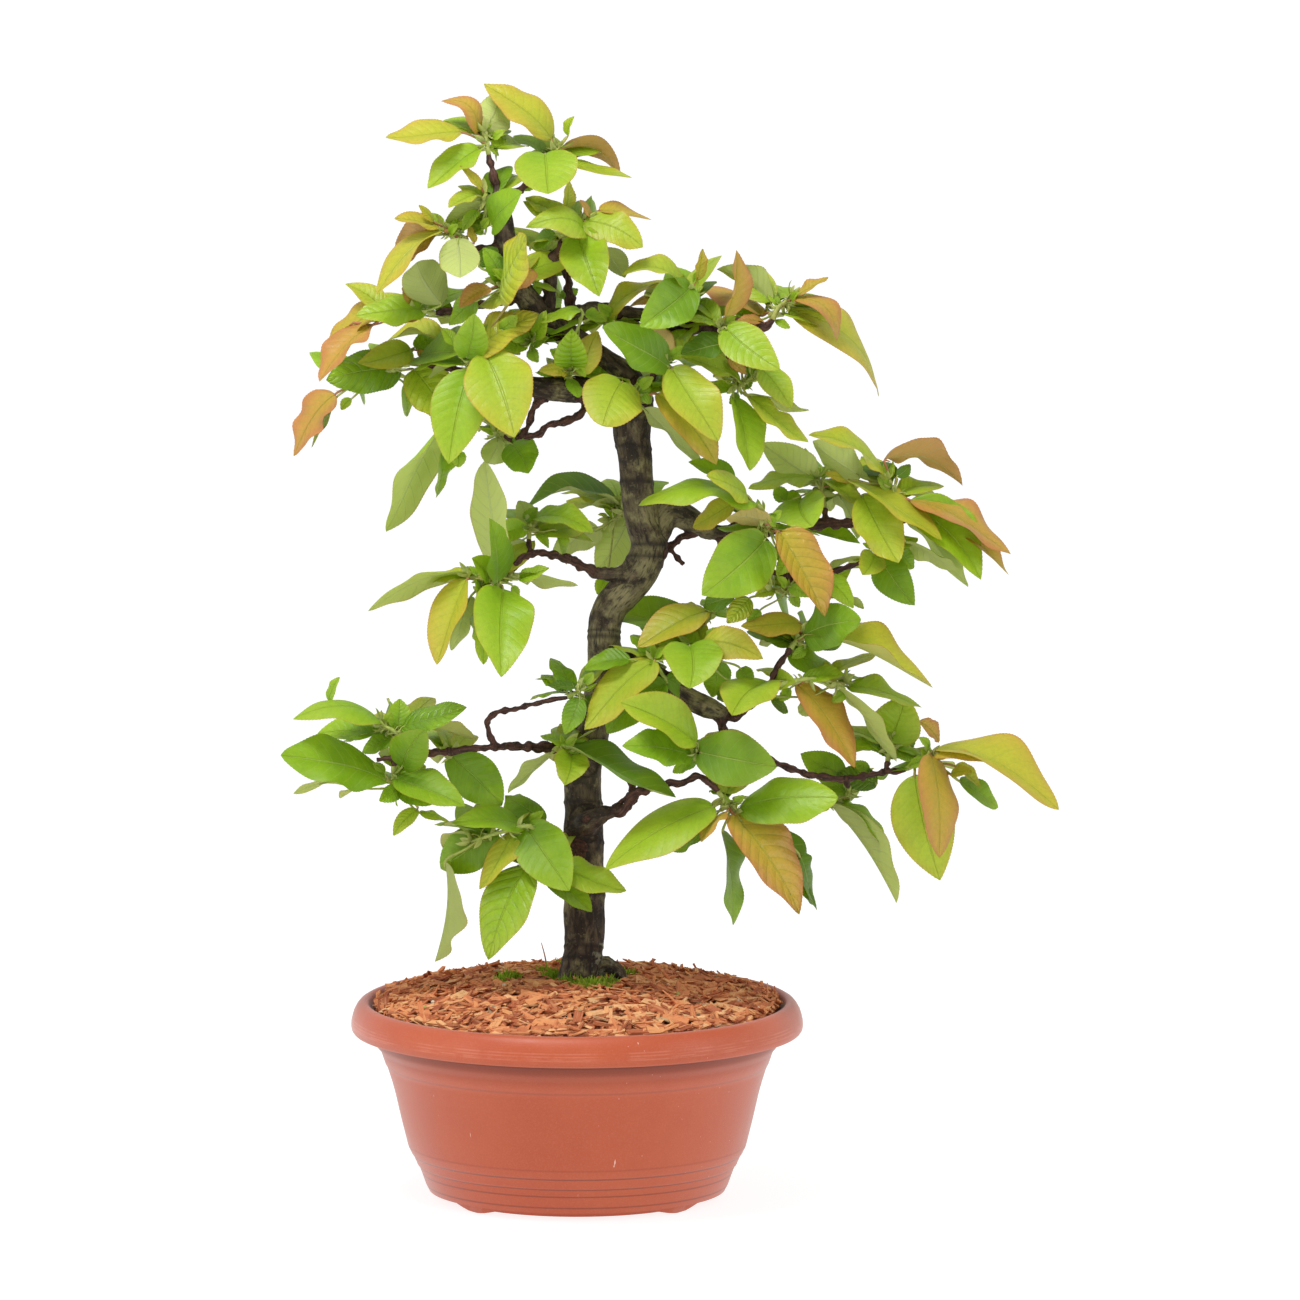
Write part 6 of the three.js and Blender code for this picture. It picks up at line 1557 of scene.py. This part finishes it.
# Heaps of moss: across, up, breadth, depth and number of spikes. Grains: across, up, radius. Straws: the
# upper and the lower end, each across and up, and the radius. Bits of leaf: across, up, length, width.
MOSS = [(10, 139, 13, 9, 360), (-3, 142, 9, 7, 165), (20, 141, 8, 7, 135), (-15, 146, 8, 9, 195),
        (-22, 149, 5, 7, 75), (-44, 145, 7, 6, 135), (-50, 143, 5, 5, 60), (33, 147, 6, 6, 75),
        (-8, 153, 7, 6, 75)]
GRAINS = [(-48.7, 139.3, 1.5), (60.7, 139.3, 1.7), (127.3, 124.7, 2.6), (120, 123.3, 2.4),
          (106.7, 119.3, 2.0), (-96, 128, 1.4), (88, 133, 1.3)]
STRAWS = [((-24, 169), (-20, 150), 0.5), ((52, 155), (65, 141), 1.1), ((127, 142), (126, 131), 0.7),
          ((132, 140), (131, 131), 0.8), ((-92, 141), (-99, 131), 0.7), ((57, 134), (70, 123), 0.8),
          ((-118, 140), (-122, 133), 0.6), ((16, 139), (4, 131), 0.8), ((-60, 132), (-38, 136), 0.6)]
LEAF_BITS = [(-106, 122.7, 6.5, 4.0), (65.3, 118, 3.6, 2.6)]


def build_moss(finish):
    """Tufts of moss: slim leaning spikes, shorter towards the edge of their heap."""
    bm = start_mesh()
    draw = drawer(77)
    for across, up, wide, deep, count in MOSS:
        centre = surface_point(across, up)
        part = start_mesh()
        layer = part.verts.layers.float_color["look"]
        for _ in range(count):
            turn, reach = draw(0, 2 * math.pi), math.sqrt(draw(0, 1))
            x, y = centre.x + wide * reach * math.cos(turn), centre.y + deep * reach * math.sin(turn)
            ground = mound_height(math.hypot(x, y)) - 1.2
            height = draw(4.0, 9.5) * (1.2 - 0.6 * reach)
            lean = Matrix.Rotation(draw(-0.7, 0.7), 4, "X") @ Matrix.Rotation(draw(-0.7, 0.7), 4, "Y")
            move = Matrix.Translation((x, y, ground)) @ lean @ Matrix.Translation((0, 0, height / 2))
            spike = bmesh.ops.create_cone(part, cap_ends=True, segments=3, radius1=draw(0.6, 1.0),
                                          radius2=0.12, depth=height, matrix=move)
            look = (0, draw(0, 1), draw(0, 1), 1)
            for vert in spike["verts"]:
                vert[layer] = look
        gather(bm, part)
    return finish_piece(bm, "moss_tufts", [finish], "leaf")


def build_crumbs(settings, chip, leaf, grain):
    """What lies on the chips: white grains, straws and bits of leaf."""
    bm = start_mesh()
    draw = drawer(91)
    look_layer = bm.verts.layers.float_color["look"]
    for across, up, radius in GRAINS:
        centre = surface_point(across, up) + Vector((0, 0, 1.2))
        move = Matrix.Translation(centre)
        for vert in bmesh.ops.create_icosphere(bm, subdivisions=2, radius=radius, matrix=move)["verts"]:
            vert.co += Vector((draw(-0.2, 0.2), draw(-0.2, 0.2), draw(-0.2, 0.2)))
            vert.co.z = centre.z + (vert.co.z - centre.z) * 0.75
            vert[look_layer] = (0.5, 0.5, 0.5, 1)
    bm.faces.ensure_lookup_table()
    for face in bm.faces:
        face.material_index = 2
        face.smooth = True
    for (high_across, high_up), (low_across, low_up), radius in STRAWS:
        low = surface_point(low_across, low_up)
        high = Vector((high_across, low.y, low.z + (high_up - low_up) / math.cos(VIEW_TILT)))
        low.z -= 3
        middle = (low + high) / 2 + Vector((0.7, 0, 0.5))
        path = smooth_path([(np.array(low), radius), (np.array(middle), radius),
                            (np.array(high), radius * 0.5)], 2.5)
        tube(bm, path, 6, (draw(0.2, 0.75), 0.8, 0.5, 1), 0)
    for across, up, length, width in LEAF_BITS:
        at = surface_point(across, up) + Vector((0, 0, 1.8))
        axes = (length, Vector((1, 0, 0)), Vector((0, -0.6, -0.8)), Vector((0, -0.8, 0.6)), width)
        blade(bm, settings, at, axes, 0.4, (0.05, 0.2, 0, 1), draw, (1, 1), teeth=False)
    return finish_piece(bm, "mulch_crumbs", [chip, leaf, grain], "mulch")


def color_property(name, description, default):
    """A colour in the eight-bit numbers of a screen."""
    return FloatVectorProperty(name=name, description=description, default=default, size=3, min=0, max=255)


class LeafSettings(PropertyGroup):
    tooth_length: FloatProperty(
        name="Tooth length", description="Length of a margin tooth in millimetres", default=2.0)
    tooth_depth: FloatProperty(
        name="Tooth depth", description="Depth of a margin tooth in millimetres", default=0.42)
    thickness: FloatProperty(
        name="Thickness", description="Blade thickness in millimetres", default=0.45)
    bract_length: FloatProperty(
        name="Stipule length", description="Length of the stipules in millimetres", default=8.0)
    fill_leaves: IntProperty(
        name="Filling leaves", description="Leaves behind each shoot", default=6, min=0, max=12)
    translucency: FloatProperty(
        name="Translucency", description="Share of light that shines through", default=0.38,
        min=0, max=1, subtype="FACTOR")
    green: color_property("Green", "Upper side of a grown leaf, 0 to 255", (120, 162, 26))
    deep_green: color_property("Deep green", "Upper side of the darkest leaves, 0 to 255", (70, 108, 16))
    margin: color_property("Margin", "Toothed margin of a young leaf, 0 to 255", (206, 124, 72))
    underside: color_property("Underside", "Pale side of a grown leaf, 0 to 255", (226, 232, 146))
    petiole: color_property("Petiole", "Stalks and shoots, 0 to 255", (178, 192, 96))


class WoodSettings(PropertyGroup):
    skin_step: FloatProperty(
        name="Skin step", description="Size of a face of the bark", default=0.00112,
        unit="LENGTH", precision=5)
    bark: color_property("Bark", "Bark of the trunk, 0 to 255", (84, 70, 54))
    bark_dark: color_property("Dark bark", "Hollows of the bark, 0 to 255", (48, 37, 30))
    lichen: color_property("Lichen", "Grey-green lichen, 0 to 255", (164, 154, 110))


class PotSettings(PropertyGroup):
    pot_sides: IntProperty(name="Sides", description="Faces round the pot", default=160, min=32, max=256)
    plastic: color_property("Plastic", "Terracotta-coloured plastic, 0 to 255", (178, 76, 40))


class MulchSettings(PropertyGroup):
    chip_count: IntProperty(name="Chips", description="Chips on the mound", default=3600, min=100, max=8000)
    chip: color_property("Chip", "Reddish wood chips, 0 to 255", (214, 134, 88))
    moss: color_property("Moss", "Moss at the trunk's foot, 0 to 255", (214, 240, 92))


class StageSettings(PropertyGroup):
    floor: color_property("Floor", "Studio floor, 0 to 255", (150, 150, 151))
    sky: FloatProperty(
        name="Surroundings", description="Strength of the white surroundings", default=0.64)
    key: FloatProperty(
        name="Main light", description="Power of the large light above", default=28.5, unit="POWER")
    side: FloatProperty(
        name="Side lights", description="Power of each light at the side", default=8.0, unit="POWER")
    lens: FloatProperty(
        name="Lens", description="Focal length", default=900.0, unit="CAMERA")


class BONSAI_OT_pot(Operator):
    """Turn the pot, cut its drains and give the soil its finish"""
    bl_idname = "bonsai.pot"
    bl_label = "Pot and soil"

    def execute(self, context):
        settings = context.scene.bonsai_pot
        build_pot(settings, pot_finish(settings))
        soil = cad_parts["soil"]
        soil.material_slots[0].material = soil_finish()
        return {"FINISHED"}


class BONSAI_OT_mulch(Operator):
    """Lay the bark chips, moss and crumbs"""
    bl_idname = "bonsai.mulch"
    bl_label = "Mulch and moss"

    def execute(self, context):
        settings = context.scene.bonsai_mulch
        chips = chip_finish(settings)
        build_mulch(settings, chips)
        build_moss(moss_finish(settings))
        leaf = leaf_under_finish(context.scene.bonsai_leaf)
        build_crumbs(context.scene.bonsai_leaf, chips, leaf, crumb_finish())
        return {"FINISHED"}


class BONSAI_OT_wood(Operator):
    """Grow the trunk, branches and twigs with their bark"""
    bl_idname = "bonsai.wood"
    bl_label = "Trunk and branches"

    def execute(self, context):
        settings = context.scene.bonsai_wood
        build_wood(settings, bark_finish(settings))
        return {"FINISHED"}


class BONSAI_OT_leaves(Operator):
    """Grow the green shoots and their leaves"""
    bl_idname = "bonsai.leaves"
    bl_label = "Leafy shoots"

    def execute(self, context):
        settings = context.scene.bonsai_leaf
        finishes = [leaf_upper_finish(settings), leaf_under_finish(settings), shoot_finish(settings)]
        back_draw = drawer(23)
        for order, name in enumerate(SPRAYS):
            build_spray(name, order, back_draw, settings, finishes)
        return {"FINISHED"}


def soft_light(name, at, size, power):
    """A rectangular light that aims at the bonsai."""
    light = bpy.data.lights.new(name, "AREA")
    light.shape = "RECTANGLE"
    light.size, light.size_y = size
    light.energy = power
    lamp = bpy.data.objects.new(name, light)
    lamp.location = at
    lamp.rotation_euler = (Vector(LIGHT_AIM) - Vector(at)).to_track_quat("-Z", "Y").to_euler()
    bpy.context.scene.collection.objects.link(lamp)


def surroundings(settings):
    """The even white light from all sides."""
    world = bpy.data.worlds.new("studio")
    world.use_nodes = True
    background = world.node_tree.nodes["Background"]
    background.inputs["Color"].default_value = (1.0, 1.0, 1.0, 1.0)
    background.inputs["Strength"].default_value = settings.sky
    return world


def viewing_camera(settings):
    """The camera at the photograph's viewing angle."""
    camera = bpy.data.cameras.new("camera")
    camera.sensor_width = FILM_WIDTH
    camera.lens = settings.lens
    camera.clip_end = 100
    distance = VIEW_WIDTH * settings.lens / camera.sensor_width
    viewer = bpy.data.objects.new("camera", camera)
    backwards = Vector((0, -math.cos(VIEW_ANGLE), math.sin(VIEW_ANGLE)))
    viewer.location = Vector(VIEW_CENTRE) + backwards * distance
    viewer.rotation_euler = (math.pi / 2 - VIEW_ANGLE, 0, 0)
    bpy.context.scene.collection.objects.link(viewer)
    return viewer


class BONSAI_OT_stage(Operator):
    """Set up the pale floor, the soft lights and the camera"""
    bl_idname = "bonsai.stage"
    bl_label = "Studio"

    def execute(self, context):
        settings = context.scene.bonsai_stage
        scene = context.scene
        bm = bmesh.new()
        bmesh.ops.create_circle(bm, cap_ends=True, segments=96, radius=FLOOR_RADIUS * 1000)
        floor = finish_piece(bm, "studio_floor", [floor_finish(settings)], None)
        scene.world = surroundings(settings)
        soft_light("light_above", TOP_LIGHT_AT, TOP_LIGHT_SIZE, settings.key)
        for name, at in SIDE_LIGHTS_AT.items():
            soft_light(name, at, SIDE_LIGHT_SIZE, settings.side)
        scene.camera = viewing_camera(settings)
        scene.view_settings.view_transform = "Standard"
        return {"FINISHED"}


class BONSAI_PT_panel(Panel):
    """The pieces of the bonsai, in the order in which they are made"""
    bl_label = "Chinese quince bonsai"
    bl_idname = "BONSAI_PT_panel"
    bl_space_type = "VIEW_3D"
    bl_region_type = "UI"
    bl_category = "Bonsai"

    def draw(self, context):
        for operator in OPERATORS:
            self.layout.operator(operator.bl_idname)
        for name in SETTINGS:
            group = getattr(context.scene, name)
            box = self.layout.box()
            for key in group.bl_rna.properties.keys():
                if key not in {"rna_type", "name"}:
                    box.prop(group, key)


OPERATORS = (BONSAI_OT_pot, BONSAI_OT_mulch, BONSAI_OT_wood, BONSAI_OT_leaves, BONSAI_OT_stage)
SETTINGS = {"bonsai_leaf": LeafSettings, "bonsai_wood": WoodSettings, "bonsai_pot": PotSettings,
            "bonsai_mulch": MulchSettings, "bonsai_stage": StageSettings}


def register():
    """Adds the settings, operators and panel to Blender."""
    for group in SETTINGS.values():
        bpy.utils.register_class(group)
    for operator in OPERATORS:
        bpy.utils.register_class(operator)
    bpy.utils.register_class(BONSAI_PT_panel)
    for name, group in SETTINGS.items():
        setattr(bpy.types.Scene, name, PointerProperty(type=group))


def unregister():
    """Takes them out again."""
    for name in SETTINGS:
        delattr(bpy.types.Scene, name)
    bpy.utils.unregister_class(BONSAI_PT_panel)
    for operator in reversed(OPERATORS):
        bpy.utils.unregister_class(operator)
    for group in SETTINGS.values():
        bpy.utils.unregister_class(group)


def main():
    """Makes every piece in turn."""
    register()
    bpy.ops.bonsai.pot()
    bpy.ops.bonsai.mulch()
    bpy.ops.bonsai.wood()
    bpy.ops.bonsai.leaves()
    bpy.ops.bonsai.stage()


if __name__ == "__main__":
    main()
